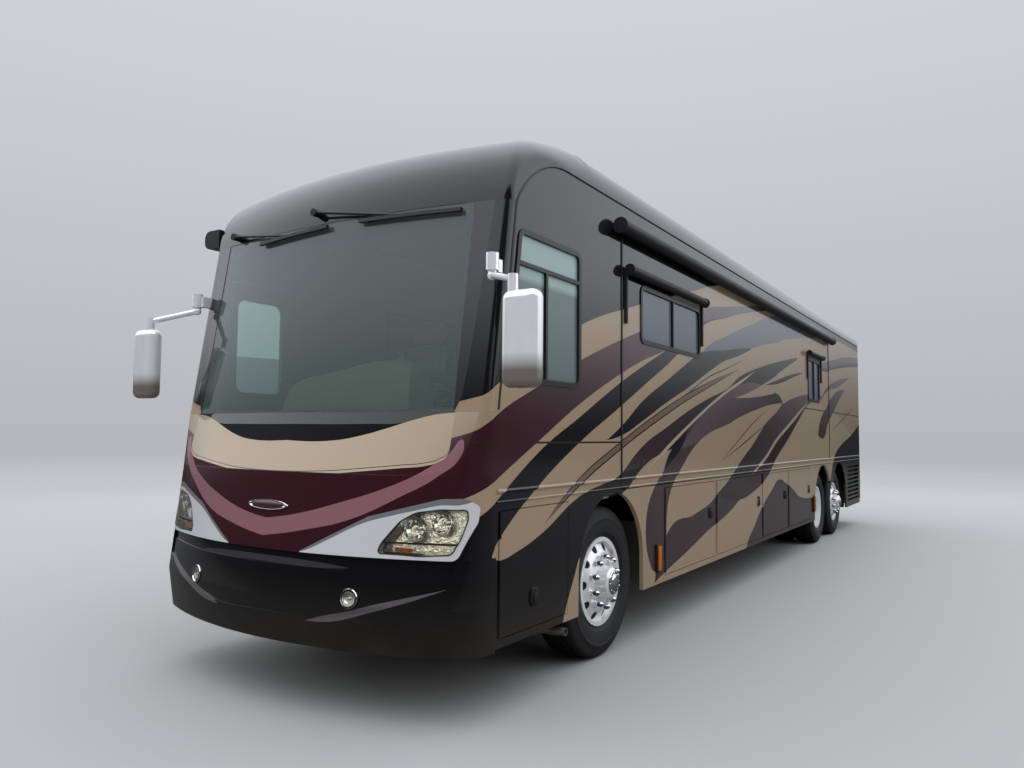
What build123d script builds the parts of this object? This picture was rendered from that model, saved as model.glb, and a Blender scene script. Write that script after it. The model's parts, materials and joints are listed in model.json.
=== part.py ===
from build123d import *
import os
from math import atan2, cos, hypot, radians, sin, sqrt

os.makedirs("parts", exist_ok=True)

# Motorhome coach on three axles. Millimetres, front to -Y, left side to +X, ground at z = 0.
front_overhang = 1985
wheelbase = 7160
tag_spacing = 1250
side_past_tag = 1950  # flat side ends this far behind the tag axle
rear_cap_depth = 345
body_width = 2570
roof_height = 3480
roof_corner = 285  # radius between wall and roof
brow_height = 630  # from the windshield's upper edge to the roof
belt_height = 1145
skirt_bottom = 385
corner_depth = 525  # the round front, ahead of the flat sides
wall_thickness = 45
skirt_thickness = 30
roof_thickness = 60
shell_thickness = 45
seam = 0.6  # gap between panels that do not move
door_gap = 5

tyre_radius = 518
tyre_width = 298
rim_radius = 302
tyre_inset = 73  # outer tyre face inside the body side
twin_spacing = 335

floor_bottom = 1110
floor_top = 1190
rail_bottom = 870
rail_inset = 855  # frame rail's middle, in from the body side
rail_width = 80

# Places along the coach count from the front axle, to the rear
half = body_width / 2
rail_offset = half - rail_inset
side_front = front_overhang - corner_depth
side_rear = wheelbase + tag_spacing + side_past_tag
tail = side_rear + rear_cap_depth
overall_length = front_overhang + tail
axle_y = front_overhang - overall_length / 2
tail_y = overall_length / 2
frame_rear = side_rear - 130
wall_top = roof_height - roof_corner
glass_top = roof_height - brow_height
hood_top = 1645
nose_top = 1300
bumper_top = 868
wheel_x = half - tyre_inset - tyre_width / 2
kingpin_x = wheel_x - 203
stub_end = kingpin_x + 275
bay_edges = [wheelbase * part for part in (0.0929, 0.31006, 0.53352, 0.69972, 0.88268)]


def save(solid, label):
    solid.label = label
    export_step(solid, "parts/" + label + ".step")


def block(x0, x1, y0, y1, z0, z1, mode=Mode.ADD):
    # box between two corners, y counted from the front axle
    with Locations(((x0 + x1) / 2, axle_y + (y0 + y1) / 2, (z0 + z1) / 2)):
        Box(x1 - x0, y1 - y0, z1 - z0, mode=mode)


def rod(start, end, radius, mode=Mode.ADD):
    # round bar between two points, y counted from the front axle
    dx, dy, dz = (b - a for a, b in zip(start, end))
    length = sqrt(dx * dx + dy * dy + dz * dz)
    base = Plane(origin=(start[0], axle_y + start[1], start[2]), z_dir=(dx, dy, dz))
    with Locations(base):
        Cylinder(radius, length, align=(Align.CENTER, Align.CENTER, Align.MIN), mode=mode)


def both_sides(solid):
    return Compound(children=[solid, mirror(solid, about=Plane.YZ)])


def bow_radius(sweep):
    # radius of a front that falls back by sweep at the body sides
    return (half * half + sweep * sweep) / (2 * sweep)


# Front of the body as plan outlines: height, nose ahead of the axle, sweep of the bow, corner radius.
levels = {
    "bumper_bottom": (370, front_overhang - 40, 300, 270),
    "bumper_belly": (620, front_overhang, 300, 270),
    "bumper_top": (bumper_top, front_overhang - 33, 300, 265),
    "nose_top": (nose_top, front_overhang - 117, 269.5, 200),
    "hood_top": (hood_top, front_overhang - 295, 139, 60),
    "glass_top": (glass_top, front_overhang - 485, 139, 60),
}


def bowed_outline(wide, nose, bow, corner, back):
    # closed line: straight back and sides, round corners, bowed front at y = -nose
    axis = bow - nose
    cx = wide - corner
    cy = axis - sqrt((bow - corner) ** 2 - cx**2)
    ux = cx / (bow - corner)
    uy = (cy - axis) / (bow - corner)
    size = hypot(1 + ux, uy)
    mid = (cx + corner * (1 + ux) / size, cy + corner * uy / size)
    tip = (ux * bow, axis + uy * bow)
    with BuildLine() as line:
        Polyline((-wide, cy), (-wide, back), (wide, back), (wide, cy))
        ThreePointArc((wide, cy), mid, tip)
        ThreePointArc(tip, (0, -nose), (-tip[0], tip[1]))
        ThreePointArc((-tip[0], tip[1]), (-mid[0], mid[1]), (-wide, cy))
    make_face(line.edges())


def band(names, inset):
    # solid between plan outlines, drawn in by inset
    with BuildPart() as solid:
        for name in names:
            height, nose, sweep, corner = levels[name]
            bow = bow_radius(sweep)
            with BuildSketch(Plane.XY.offset(height).move(Location((0, axle_y, 0)))):
                bowed_outline(half - inset, nose - inset, bow - inset, max(corner - inset, 6), -900)
        loft(ruled=True)
    return solid.part


def wall_face(grow):
    # side wall in side view: raked front edge, round front upper corner
    top = wall_top + grow
    low = belt_height - grow
    front = axle_y - side_front - grow
    rear = axle_y + side_rear + grow
    knee = (axle_y - side_front + 170 - grow, glass_top)
    arch_y = axle_y - side_front + 760
    drop = top - knee[1]
    run = arch_y - knee[0]
    radius = (run * run + drop * drop) / (2 * drop)
    centre = (arch_y, top - radius)
    half_way = (atan2(knee[1] - centre[1], knee[0] - centre[0]) + radians(90)) / 2
    mid = (centre[0] + radius * cos(half_way), centre[1] + radius * sin(half_way))
    with BuildLine() as line:
        Polyline((arch_y, top), (rear, top), (rear, low), (front, low), (front, hood_top), knee)
        ThreePointArc(knee, mid, (arch_y, top))
    make_face(line.edges())


# Chassis
with BuildPart() as chassis_frame:
    for side in (-1, 1):
        x = side * rail_offset
        block(x - rail_width / 2, x + rail_width / 2, -1380, frame_rear, rail_bottom, floor_bottom - 0.3)
    for y in (-1340, -300, 700, *bay_edges[1:4], bay_edges[4] + 50, wheelbase + 540, frame_rear - 40):
        block(-rail_offset, rail_offset, y - 40, y + 40, 930, 1060)
    block(-150, 150, frame_rear - 80, frame_rear, 330, 1060)
save(chassis_frame.part, "chassis_frame")

receiver_outer = 63.5
receiver_inner = 50.8
receiver_z = 400
receiver_long = 460
pin_hole = 8.25
pin_y = frame_rear + receiver_long - 90
with BuildPart() as hitch_receiver:
    block(-receiver_outer / 2, receiver_outer / 2, frame_rear, frame_rear + receiver_long, receiver_z - receiver_outer / 2,
          receiver_z + receiver_outer / 2)
    block(-receiver_inner / 2, receiver_inner / 2, frame_rear + 20, tail, receiver_z - receiver_inner / 2,
          receiver_z + receiver_inner / 2, Mode.SUBTRACT)
    rod((-100, pin_y, receiver_z), (100, pin_y, receiver_z), pin_hole, Mode.SUBTRACT)
save(hitch_receiver.part, "hitch_receiver")

engine_front = frame_rear - 1230
engine_wide = rail_offset - 120
with BuildPart() as engine:
    block(-engine_wide, engine_wide, engine_front, engine_front + 1120, 500, 1085)
    rod((0, engine_front - 1050, 860), (0, engine_front, 860), 215)
    rod((0, wheelbase + 280, 800), (0, engine_front - 1040, 840), 55)
    for y in (engine_front + 100, engine_front + 900):
        block(-rail_offset + rail_width / 2 + 0.3, rail_offset - rail_width / 2 - 0.3, y, y + 120, 900, 1000)
save(engine.part, "engine")


def air_springs(y, seat):
    for side in (-1, 1):
        for step in (-270, 270):
            x = side * rail_offset
            rod((x, y + step, seat), (x, y + step, rail_bottom - 0.3), 115)
            block(x - 60, x + 60, min(y, y + step), max(y, y + step), seat - 60, seat)


with BuildPart() as front_axle:
    block(-kingpin_x, kingpin_x, -55, 55, tyre_radius - 70, tyre_radius + 50)
    air_springs(0, 560)
    for side in (-1, 1):
        rod((side * kingpin_x, 0, tyre_radius - 75), (side * kingpin_x, 0, tyre_radius + 75), 60)
        rod((side * kingpin_x, 0, tyre_radius - 80), (side * kingpin_x, 0, tyre_radius + 80), 24.3, Mode.SUBTRACT)
with BuildPart() as drive_axle:
    rod((-wheel_x - 27, wheelbase, tyre_radius), (wheel_x + 27, wheelbase, tyre_radius), 45)
    rod((503 - wheel_x, wheelbase, tyre_radius), (wheel_x - 503, wheelbase, tyre_radius), 80)
    rod((-110, wheelbase, tyre_radius), (110, wheelbase, tyre_radius), 215)
    air_springs(wheelbase, 600)
with BuildPart() as tag_axle:
    rod((-stub_end, wheelbase + tag_spacing, tyre_radius), (stub_end, wheelbase + tag_spacing, tyre_radius), 45)
    rod((-kingpin_x, wheelbase + tag_spacing, tyre_radius), (kingpin_x, wheelbase + tag_spacing, tyre_radius), 70)
    air_springs(wheelbase + tag_spacing, 590)
save(Compound(children=[front_axle.part, drive_axle.part, tag_axle.part]), "axles")

# Steering knuckles with kingpin and stub axle
with BuildPart() as knuckle:
    rod((kingpin_x, 0, tyre_radius - 112), (kingpin_x, 0, tyre_radius + 112), 24)
    for low, high in ((80, 112), (-112, -80)):
        rod((kingpin_x, 0, tyre_radius + low), (kingpin_x, 0, tyre_radius + high), 55)
        block(kingpin_x, kingpin_x + 100, -55, 55, tyre_radius + low, tyre_radius + high)
    block(kingpin_x + 75, kingpin_x + 100, -55, 55, tyre_radius - 112, tyre_radius + 112)
    rod((kingpin_x + 90, 0, tyre_radius), (stub_end, 0, tyre_radius), 45)
save(knuckle.part, "knuckle_left")
save(mirror(knuckle.part, about=Plane.YZ), "knuckle_right")

# Floor, storage bays and step well
with BuildPart() as coach_floor:
    block(-half + wall_thickness + 5.5, half - wall_thickness - 5.5, -1400, side_rear - 60, floor_bottom, floor_top)
    block(-half, -half + 645, -1340, -640, floor_bottom - 1, floor_top + 1, Mode.SUBTRACT)
    block(-half + 51, -half + 645, -1360, -1335, 440, floor_top)
    block(-half + 51, -half + 645, -665, -645, 440, floor_top)
    for edge, tread in ((285, 700), (485, 950), (670, floor_top)):
        block(-half + edge - 25, -half + edge, -1360, -645, tread - 250, tread)
    for near, far, tread in ((51, 285, 450), (260, 485, 700), (460, 670, 950)):
        block(-half + near, -half + far, -1360, -645, tread - 25, tread)
save(coach_floor.part, "coach_floor")

with BuildPart() as basement:
    block(-half + skirt_thickness + seam, half - skirt_thickness - seam, bay_edges[0] - 10, bay_edges[-1] + 10, 430, 460)
    for y in bay_edges:
        block(-half + skirt_thickness + seam, half - skirt_thickness - seam, y - 10, y + 10, 430, rail_bottom - 0.3)
save(basement.part, "basement")

# Doors in the side skirts: front edge, rear edge, lower edge, upper edge, and which sides have them
skirt_doors = (
    ("service_door", -1425, -660, 435, 1110, "l"),
    ("bay_door_1", bay_edges[0] + 290, bay_edges[1] - 20, 435, 1115, "lr"),
    ("bay_door_2", bay_edges[1] + 20, bay_edges[2] - 20, 435, 1115, "lr"),
    ("bay_door_3", bay_edges[2] + 20, bay_edges[3] - 20, 435, 1115, "lr"),
    ("bay_door_4", bay_edges[3] + 20, bay_edges[4] - 35, 435, 1115, "lr"),
)
entry_front, entry_rear, entry_low = -1285, -655, 430
entry_high = wall_top - 555
hinge_out = 3
hinge_radius = 8
hinge_pin = 4
knuckle_long = 60


def hinge_seat(front, low, high, ends):
    # hinge knuckles with pins on the fixed panel, and room for the door's barrel
    x = half + hinge_out
    y = front - door_gap / 2
    rod((x, y, low + knuckle_long - 1), (x, y, high - knuckle_long + 1), hinge_radius + door_gap, Mode.SUBTRACT)
    if "low" in ends:
        rod((x, y, low), (x, y, low + knuckle_long - 1), hinge_radius)
        rod((x, y, low), (x, y, low + 2 * knuckle_long), hinge_pin)
    if "high" in ends:
        rod((x, y, high - knuckle_long + 1), (x, y, high), hinge_radius)
        rod((x, y, high - 2 * knuckle_long), (x, y, high), hinge_pin)


def hinge_barrel(front, low, high):
    # barrel on the door's front edge, with the edge cut clear of the fixed knuckles
    x = half + hinge_out
    y = front - door_gap / 2
    rod((x, y, low - 20), (x, y, low + knuckle_long), hinge_radius + door_gap, Mode.SUBTRACT)
    rod((x, y, high - knuckle_long), (x, y, high + 20), hinge_radius + door_gap, Mode.SUBTRACT)
    rod((x, y, low + knuckle_long), (x, y, high - knuckle_long), hinge_radius)
    rod((x, y, low), (x, y, high), hinge_pin + 0.3, Mode.SUBTRACT)


arches = ((0, 515, 618), (wheelbase, 615, 520), (wheelbase + tag_spacing, 615, 520))


def skirt(letter):
    with BuildPart() as solid:
        block(half - skirt_thickness, half, -side_front, side_rear, skirt_bottom, belt_height - seam)
        for y, radius, height in arches:
            rod((half - 100, y, height), (half + 100, y, height), radius, Mode.SUBTRACT)
            block(half - 100, half + 100, y - radius, y + radius, 0, height, Mode.SUBTRACT)
        block(half - 100, half + 100, wheelbase, wheelbase + tag_spacing, 0, 850, Mode.SUBTRACT)
        for label, front, rear, low, high, sides in skirt_doors:
            if letter in sides:
                block(half - 100, half + 100, front - door_gap, rear + door_gap, low - door_gap, high + door_gap,
                      Mode.SUBTRACT)
                hinge_seat(front, low, high, ("low", "high"))
        if letter == "r":
            block(half - 100, half + 100, entry_front - door_gap, entry_rear + door_gap, entry_low - door_gap,
                  belt_height + 1, Mode.SUBTRACT)
            hinge_seat(entry_front, entry_low, entry_high, ("low",))
            block(half - 200, half + 200, -2000, 0, belt_height - seam, wall_top, Mode.SUBTRACT)
        # louvres of the radiator air inlet behind the tag wheel
        if letter == "l":
            for row in range(9):
                block(half - 100, half + 100, side_rear - 1210, side_rear - 110, 480 + row * 68, 516 + row * 68,
                      Mode.SUBTRACT)
    return solid.part


left_skirt = skirt("l")
right_skirt = mirror(skirt("r"), about=Plane.YZ)
save(Compound(children=[left_skirt, right_skirt]), "skirts")


def skirt_door(front, rear, low, high, latch_y, latch_z):
    with BuildPart() as solid:
        block(half - skirt_thickness, half, front, rear, low, high)
        hinge_barrel(front, low, high)
        block(half - 1, half + 9, latch_y - 47, latch_y + 47, latch_z - 32, latch_z + 32)
    return solid.part


for label, front, rear, low, high, sides in skirt_doors:
    latch = (-1063, 602) if label == "service_door" else (rear - 142, (low + high) / 2 + 62)
    solid = skirt_door(front, rear, low, high, *latch)
    save(solid, "left_" + label)
    if "r" in sides:
        save(mirror(solid, about=Plane.YZ), "right_" + label)

# Side walls with belt beads; windows as centre y, centre z, length, height
slide_front, slide_rear, slide_top = 117, wheelbase + 505, wall_top - 135
sofa_y, table_y, bed_y = 1130, wheelbase * 0.51, wheelbase - 570
slide_windows = ((sofa_y, wall_top - 750, 1340, 450), (bed_y, wall_top - 865, 760, 600))
right_windows = ((sofa_y, wall_top - 835, 1340, 620), (table_y, wall_top - 835, 1300, 620),
                 (bed_y, wall_top - 865, 760, 600))
driver_low, driver_high, driver_rear = hood_top + 175, glass_top - 140, -505
driver_bar = driver_high - 205
driver_window = ((-side_front + 70, driver_low), (driver_rear, driver_low), (driver_rear, driver_high),
                 (-side_front + 196, driver_high))
bead_rows = ((1218, 13), (1160, 8))


def beads(front, rear):
    for height, radius in bead_rows:
        rod((half - 3, front, height), (half - 3, rear, height), radius)


def side_wall():
    with BuildSketch(Plane.YZ.offset(half - wall_thickness)) as face:
        wall_face(0)
    extrude(face.sketch, amount=wall_thickness)


def window_shape(centre_y, centre_z, length, height, inset, mode=Mode.ADD):
    with Locations((axle_y + centre_y, centre_z)):
        RectangleRounded(length - 2 * inset, height - 2 * inset, max(70 - inset, 20), mode=mode)


def driver_shape(inset, mode=Mode.ADD):
    with BuildSketch(mode=Mode.PRIVATE) as outline:
        with BuildLine():
            Polyline(*[(axle_y + y, z) for y, z in driver_window], close=True)
        make_face()
        fillet(outline.vertices(), 70)
        if inset:
            offset(amount=-inset, mode=Mode.REPLACE)
    add(outline.sketch_local, mode=mode)


with BuildPart() as left_wall:
    side_wall()
    beads(-side_front, side_rear)
    block(half - 200, half + 200, slide_front, slide_rear, 1000, slide_top, Mode.SUBTRACT)
    with BuildSketch(Plane.YZ.offset(half - 200)):
        driver_shape(0)
    extrude(amount=400, mode=Mode.SUBTRACT)
save(left_wall.part, "left_wall")

with BuildPart() as right_wall:
    side_wall()
    beads(-side_front, side_rear)
    block(half - 200, half + 200, entry_front - door_gap, entry_rear + door_gap, 1000, entry_high + door_gap,
          Mode.SUBTRACT)
    hinge_seat(entry_front, entry_low, entry_high, ("high",))
    with BuildSketch(Plane.YZ.offset(half - 200)):
        for window in right_windows:
            window_shape(*window, 0)
    extrude(amount=400, mode=Mode.SUBTRACT)
save(mirror(right_wall.part, about=Plane.YZ), "right_wall")

frame_width = 34


def window_frame(window):
    with BuildPart() as solid:
        with BuildSketch(Plane.YZ.offset(half - 34)):
            window_shape(*window, seam)
            window_shape(*window, frame_width, Mode.SUBTRACT)
            with Locations((axle_y + window[0], window[1])):
                Rectangle(22, window[3] - 2 * frame_width + 4)
        extrude(amount=42)
    return solid.part


def window_pane(window):
    panes = []
    for side in (-1, 1):
        with BuildPart() as solid:
            with BuildSketch(Plane.YZ.offset(half - 16)):
                window_shape(*window, frame_width + seam)
                with Locations((axle_y + window[0] - side * 1000 + side * (11 + seam), window[1])):
                    Rectangle(2000, 2000, mode=Mode.SUBTRACT)
            extrude(amount=7)
        panes.append(solid.part)
    return panes


with BuildPart() as driver_frame:
    with BuildSketch(Plane.YZ.offset(half - 34)):
        driver_shape(seam)
        driver_shape(frame_width, Mode.SUBTRACT)
        with Locations((axle_y + driver_rear - 388, driver_bar)):
            Rectangle(740, 24)
        with Locations((axle_y - 950, (driver_low + driver_bar) / 2 + 17)):
            Rectangle(24, driver_bar - driver_low - 25)
    extrude(amount=42)
driver_panes = []
for low, high, front, rear in ((driver_bar + 12, driver_high + 90, -1500, -400),
                               (driver_low - 120, driver_bar - 12, -1500, -962),
                               (driver_low - 120, driver_bar - 12, -938, -400)):
    with BuildPart() as pane:
        with BuildSketch(Plane.YZ.offset(half - 16)):
            driver_shape(frame_width + seam)
            with Locations((axle_y + (front + rear) / 2, (low + high) / 2)):
                Rectangle(rear - front - 2 * seam, high - low - 2 * seam, mode=Mode.INTERSECT)
        extrude(amount=7)
    driver_panes.append(pane.part)

right_frames = [mirror(window_frame(w), about=Plane.YZ) for w in right_windows]
right_panes = [mirror(p, about=Plane.YZ) for w in right_windows for p in window_pane(w)]
save(Compound(children=[driver_frame.part, *right_frames]), "window_frames")
save(Compound(children=[*driver_panes, *right_panes]), "window_glass")

# Slide-out room
slide_depth = 760
slide_panel = 30
with BuildPart() as slide_room:
    block(half - wall_thickness, half, slide_front + 6, slide_rear - 6, belt_height + 6, slide_top - 6)
    beads(slide_front + 6, slide_rear - 6)
    with BuildSketch(Plane.YZ.offset(half - 200)):
        for window in slide_windows:
            window_shape(*window, 0)
    extrude(amount=400, mode=Mode.SUBTRACT)
save(slide_room.part, "slide_room")

# floor on its runners, ceiling and two ends behind the slide-out wall
box_inner, box_outer = half - slide_depth, half - wall_thickness - 0.3
box_front, box_rear = slide_front + 12, slide_rear - 12
box_low, box_high = floor_top + 6, slide_top - 12
with BuildPart() as slide_floor:
    block(box_inner, box_outer, box_front, box_rear, box_low, box_low + slide_panel)
    for part in (0.05, 0.34, 0.63, 0.94):
        y = slide_front + part * (slide_rear - slide_front)
        block(box_inner + 10, half - 60, y - 40, y + 40, floor_top + 0.3, box_low + 1)
with BuildPart() as slide_ceiling:
    block(box_inner, box_outer, box_front, box_rear, box_high - slide_panel, box_high)
slide_ends = []
for y in (box_front, box_rear - slide_panel):
    with BuildPart() as end:
        block(box_inner, box_outer, y, y + slide_panel, box_low + slide_panel + 0.3, box_high - slide_panel - 0.3)
    slide_ends.append(end.part)
save(Compound(children=[slide_floor.part, slide_ceiling.part, *slide_ends]), "slide_box")
save(Compound(children=[window_frame(w) for w in slide_windows]), "slide_window_frames")
save(Compound(children=[p for w in slide_windows for p in window_pane(w)]), "slide_glass")


def roller_awning(front, rear, height, radius, drop):
    # roller tube with end caps; side arms down the wall where drop is given
    x = half + radius + 8
    with BuildPart() as solid:
        rod((x, front, height), (x, rear, height), radius)
        for y in (front + 10, rear - 10):
            rod((x, y - 14, height), (x, y + 14, height), radius + 6)
        for y in (front + 170, rear - 60):
            block(half + 0.3, x, y - 20, y + 20, height - 15, height + 15)
        if drop:
            for y in (front + 10, rear - 10):
                block(half + 0.3, half + 22, y - 12, y + 12, height - drop, height)
                block(half + 0.3, x, y - 12, y + 12, height - 15, height + 15)
    return solid.part


save(Compound(children=[
    roller_awning(slide_front - 137, slide_rear + 35, slide_top - 55, 50, 0),
    roller_awning(sofa_y - 960, sofa_y + 700, wall_top - 470, 36, 390),
    roller_awning(bed_y - 440, bed_y + 470, wall_top - 505, 32, 360),
]), "slide_awnings")

# Roof
cap_end = -350
with BuildPart() as roof:
    with BuildSketch(Plane.XZ.offset(-(axle_y + cap_end + seam))):
        with BuildLine():
            flat = half - roof_corner
            inner = roof_corner - roof_thickness
            bend = sqrt(0.5)
            Polyline((-half + roof_thickness, wall_top), (-half, wall_top))
            ThreePointArc((-half, wall_top), (-flat - bend * roof_corner, wall_top + bend * roof_corner),
                          (-flat, roof_height))
            Line((-flat, roof_height), (flat, roof_height))
            ThreePointArc((flat, roof_height), (flat + bend * roof_corner, wall_top + bend * roof_corner),
                          (half, wall_top))
            Line((half, wall_top), (half - roof_thickness, wall_top))
            ThreePointArc((half - roof_thickness, wall_top), (flat + bend * inner, wall_top + bend * inner),
                          (flat, roof_height - roof_thickness))
            Line((flat, roof_height - roof_thickness), (-flat, roof_height - roof_thickness))
            ThreePointArc((-flat, roof_height - roof_thickness), (-flat - bend * inner, wall_top + bend * inner),
                          (-half + roof_thickness, wall_top))
        make_face()
    extrude(amount=-(side_rear - cap_end - 2 * seam))
with BuildPart() as roof_lift:
    add(roof.part.moved(Location((0, 0, 0))))
    block(-2000, 2000, -3000, 12000, wall_top - 10, wall_top + seam, Mode.SUBTRACT)
save(roof_lift.part, "roof")

# Front cap above the windshield: sections that fan round a cross line inside the cab
fan_y, fan_z = cap_end, glass_top
fan_sections = (
    # angle up from straight ahead, reach, sweep of the bow, corner radius
    (0, front_overhang - 485 + cap_end, 139, 60),
    (27.6, 970, 103.9, 160),
    (40.6, 830, 69, 235),
    (62, 684, 27.5, 274),
    (90, brow_height, 4.1, roof_corner),
)


def fan(inset, low):
    with BuildPart() as solid:
        for angle, reach, sweep, corner in fan_sections:
            bow = bow_radius(sweep)
            c, s = cos(radians(angle)), sin(radians(angle))
            plane = Plane(origin=(0, axle_y + fan_y, fan_z + seam), x_dir=(-1, 0, 0), z_dir=(0, -s, -c))
            with BuildSketch(plane):
                bowed_outline(half - inset, reach - inset, bow - inset, max(corner - inset, 6), -low)
        loft()
    return solid.part


with BuildPart() as front_cap:
    add(fan(0, 60))
    add(fan(50, 40), mode=Mode.SUBTRACT)
    with BuildSketch(Plane.YZ.offset(-2000)):
        wall_face(seam)
    extrude(amount=4000, mode=Mode.SUBTRACT)
save(front_cap.part, "front_cap")

# Windshield, pillars, hood, nose and bumper
glass_bottom_x, glass_top_x = half - 200, half - 210


def glass_shape(inset):
    with BuildLine() as line:
        Polyline((-glass_bottom_x + inset, hood_top - 45), (glass_bottom_x - inset, hood_top - 45),
                 (glass_top_x - inset, glass_top + 50), (-glass_top_x + inset, glass_top + 50), close=True)
    make_face(line.edges())


def forward_prism():
    return Plane.XZ.offset(-(axle_y - 1100))


def trim_heights(low, high):
    block(-2000, 2000, -3000, 3000, low - 1000, low, Mode.SUBTRACT)
    block(-2000, 2000, -3000, 3000, high, high + 1000, Mode.SUBTRACT)


screen = ("hood_top", "glass_top")
with BuildPart() as windshield:
    add(band(screen, 3))
    add(band(screen, 17), mode=Mode.SUBTRACT)
    with BuildSketch(forward_prism()):
        glass_shape(seam)
    extrude(amount=1500, mode=Mode.INTERSECT)
    trim_heights(hood_top + seam, glass_top - seam)
save(windshield.part, "windshield")

with BuildPart() as windshield_pillars:
    add(band(screen, 0))
    add(band(screen, 70), mode=Mode.SUBTRACT)
    with BuildSketch(forward_prism()):
        glass_shape(0)
    extrude(amount=1500, mode=Mode.SUBTRACT)
    with BuildSketch(Plane.YZ.offset(-2000)):
        wall_face(seam)
    extrude(amount=4000, mode=Mode.SUBTRACT)
    block(-2000, 2000, -1250, 3000, 1000, 4000, Mode.SUBTRACT)
    trim_heights(hood_top + seam, glass_top)
save(windshield_pillars.part, "windshield_pillars")

hood_half = half - 185
hood_low = nose_top + 2
lamp_shift = half - 1285  # lamps keep their distance from the body side
with BuildPart() as hood_zone:
    with BuildSketch(forward_prism()):
        with Locations((0, hood_low + 400)):
            RectangleRounded(2 * hood_half, 800, 95)
    extrude(amount=1500)
with BuildPart() as hood_zone_wide:
    with BuildSketch(forward_prism()):
        with Locations((0, hood_low + 400)):
            RectangleRounded(2 * hood_half + 2 * seam, 800 + 2 * seam, 95 + seam)
    extrude(amount=1500)

lamp_outline = ((302, 866), (302, 876), (705, 1080), (1092, 1184), (1205, 1188), (1262, 1150), (1256, 1060),
                (1190, 866))
surround_corner = 45
lens_corner = 20
lens_outline = ((795, 945), (885, 1062), (965, 1110), (1095, 1130), (1222, 1132), (1226, 1078), (1203, 977),
                (1168, 897), (1015, 886), (775, 890))


def lamp_shape(points, grow):
    with BuildSketch(mode=Mode.PRIVATE) as outline:
        with BuildLine():
            Polyline(*[(x + lamp_shift, z) for x, z in points], close=True)
        make_face()
        # the surround keeps its long inner tip sharp, its outer corners are round
        outer = [v for v in outline.vertices() if v.X > 1150 + lamp_shift]
        if points == lamp_outline:
            fillet(outer, surround_corner)
        else:
            fillet(outline.vertices(), lens_corner)
        if grow:
            offset(amount=grow, kind=Kind.INTERSECTION, mode=Mode.REPLACE)
    add(outline.sketch_local)
    add(mirror(outline.sketch_local, about=Plane.YZ, mode=Mode.PRIVATE))


nose = ("bumper_top", "nose_top", "hood_top")
with BuildPart() as front_skin:
    add(band(nose, 0))
    add(band(nose, 40), mode=Mode.SUBTRACT)
    block(-2000, 2000, -side_front - seam, 3000, 0, 4000, Mode.SUBTRACT)
    trim_heights(bumper_top + seam, hood_top)

with BuildPart() as hood:
    add(front_skin.part)
    add(hood_zone.part, mode=Mode.INTERSECT)
save(hood.part, "hood")

with BuildPart() as nose_panel:
    add(front_skin.part)
    add(hood_zone_wide.part, mode=Mode.SUBTRACT)
    with BuildSketch(forward_prism()):
        lamp_shape(lamp_outline, 0)
    extrude(amount=1500, mode=Mode.SUBTRACT)
save(nose_panel.part, "nose_panel")

with BuildPart() as headlamp_bezels:
    add(front_skin.part)
    with BuildSketch(forward_prism()):
        lamp_shape(lamp_outline, -seam)
    extrude(amount=1500, mode=Mode.INTERSECT)
    with BuildSketch(forward_prism()):
        lamp_shape(lens_outline, 0)
    extrude(amount=1500, mode=Mode.SUBTRACT)
    trim_heights(bumper_top + seam, hood_top)
save(headlamp_bezels.part, "headlamp_bezels")

fog_x, fog_z, fog_radius = half - 645, 648, 56
crease = ((0, 524), (300, 516), (380, 518), (600, 555), (830, 615), (1030, 682), (1155, 730))
ledges = ((crease, 13), (((0, 792), (600, 794), (1172, 815)), 22))  # lower edge, set back above it
bumper = ("bumper_bottom", "bumper_belly", "bumper_top")
with BuildPart() as set_backs:
    # the bumper steps back twice above its chin: over the swept crease and under the lamps
    for edge, depth in ledges:
        with BuildPart(mode=Mode.PRIVATE) as step:
            add(band(bumper, -20))
            add(band(bumper, depth), mode=Mode.SUBTRACT)
            with BuildSketch(forward_prism()):
                with BuildLine():
                    Polyline(*[(-x, z) for x, z in edge[:0:-1]], *edge, (1195, bumper_top + 50),
                             (-1195, bumper_top + 50), close=True)
                make_face()
            extrude(amount=1500, mode=Mode.INTERSECT)
        add(step.part)
with BuildPart() as front_bumper:
    add(band(bumper, 0))
    add(band(bumper, shell_thickness), mode=Mode.SUBTRACT)
    block(-2000, 2000, -side_front - seam, 3000, 0, 4000, Mode.SUBTRACT)
    add(set_backs.part, mode=Mode.SUBTRACT)
    with BuildSketch(forward_prism()):
        with Locations((-fog_x, fog_z), (fog_x, fog_z)):
            Circle(fog_radius)
    extrude(amount=1500, mode=Mode.SUBTRACT)
save(front_bumper.part, "front_bumper")

lens_thickness = 8
with BuildPart() as headlamps:
    add(front_skin.part)
    add(band(nose, lens_thickness), mode=Mode.SUBTRACT)
    with BuildSketch(forward_prism()):
        lamp_shape(lens_outline, -seam)
    extrude(amount=1500, mode=Mode.INTERSECT)
with BuildPart() as fog_lamps:
    add(band(bumper, 22))
    add(band(bumper, shell_thickness + 30), mode=Mode.SUBTRACT)
    with BuildSketch(forward_prism()):
        with Locations((-fog_x, fog_z), (fog_x, fog_z)):
            Circle(fog_radius - seam)
    extrude(amount=1500, mode=Mode.INTERSECT)
save(Compound(children=[*headlamps.part.solids(), *fog_lamps.part.solids()]), "front_lamps")

# Wipers: a boss on the brow over the glass, an arm, and a blade parked along the glass edge
wiper_rows = (
    # boss across and above the glass edge, blade's inner end, blade's outer end
    ((-83, 72), (292, -32), (1011, -45)),
    ((-963, 45), (-636, -55), (25, -30)),
)


def screen_y(x, z):
    # windshield's outer face, counted from the front axle
    low, high = levels["hood_top"], levels["glass_top"]
    part = (z - low[0]) / (high[0] - low[0])
    bow = bow_radius(low[2] + part * (high[2] - low[2]))
    return bow - sqrt(bow * bow - x * x) - low[1] - part * (high[1] - low[1])


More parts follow.
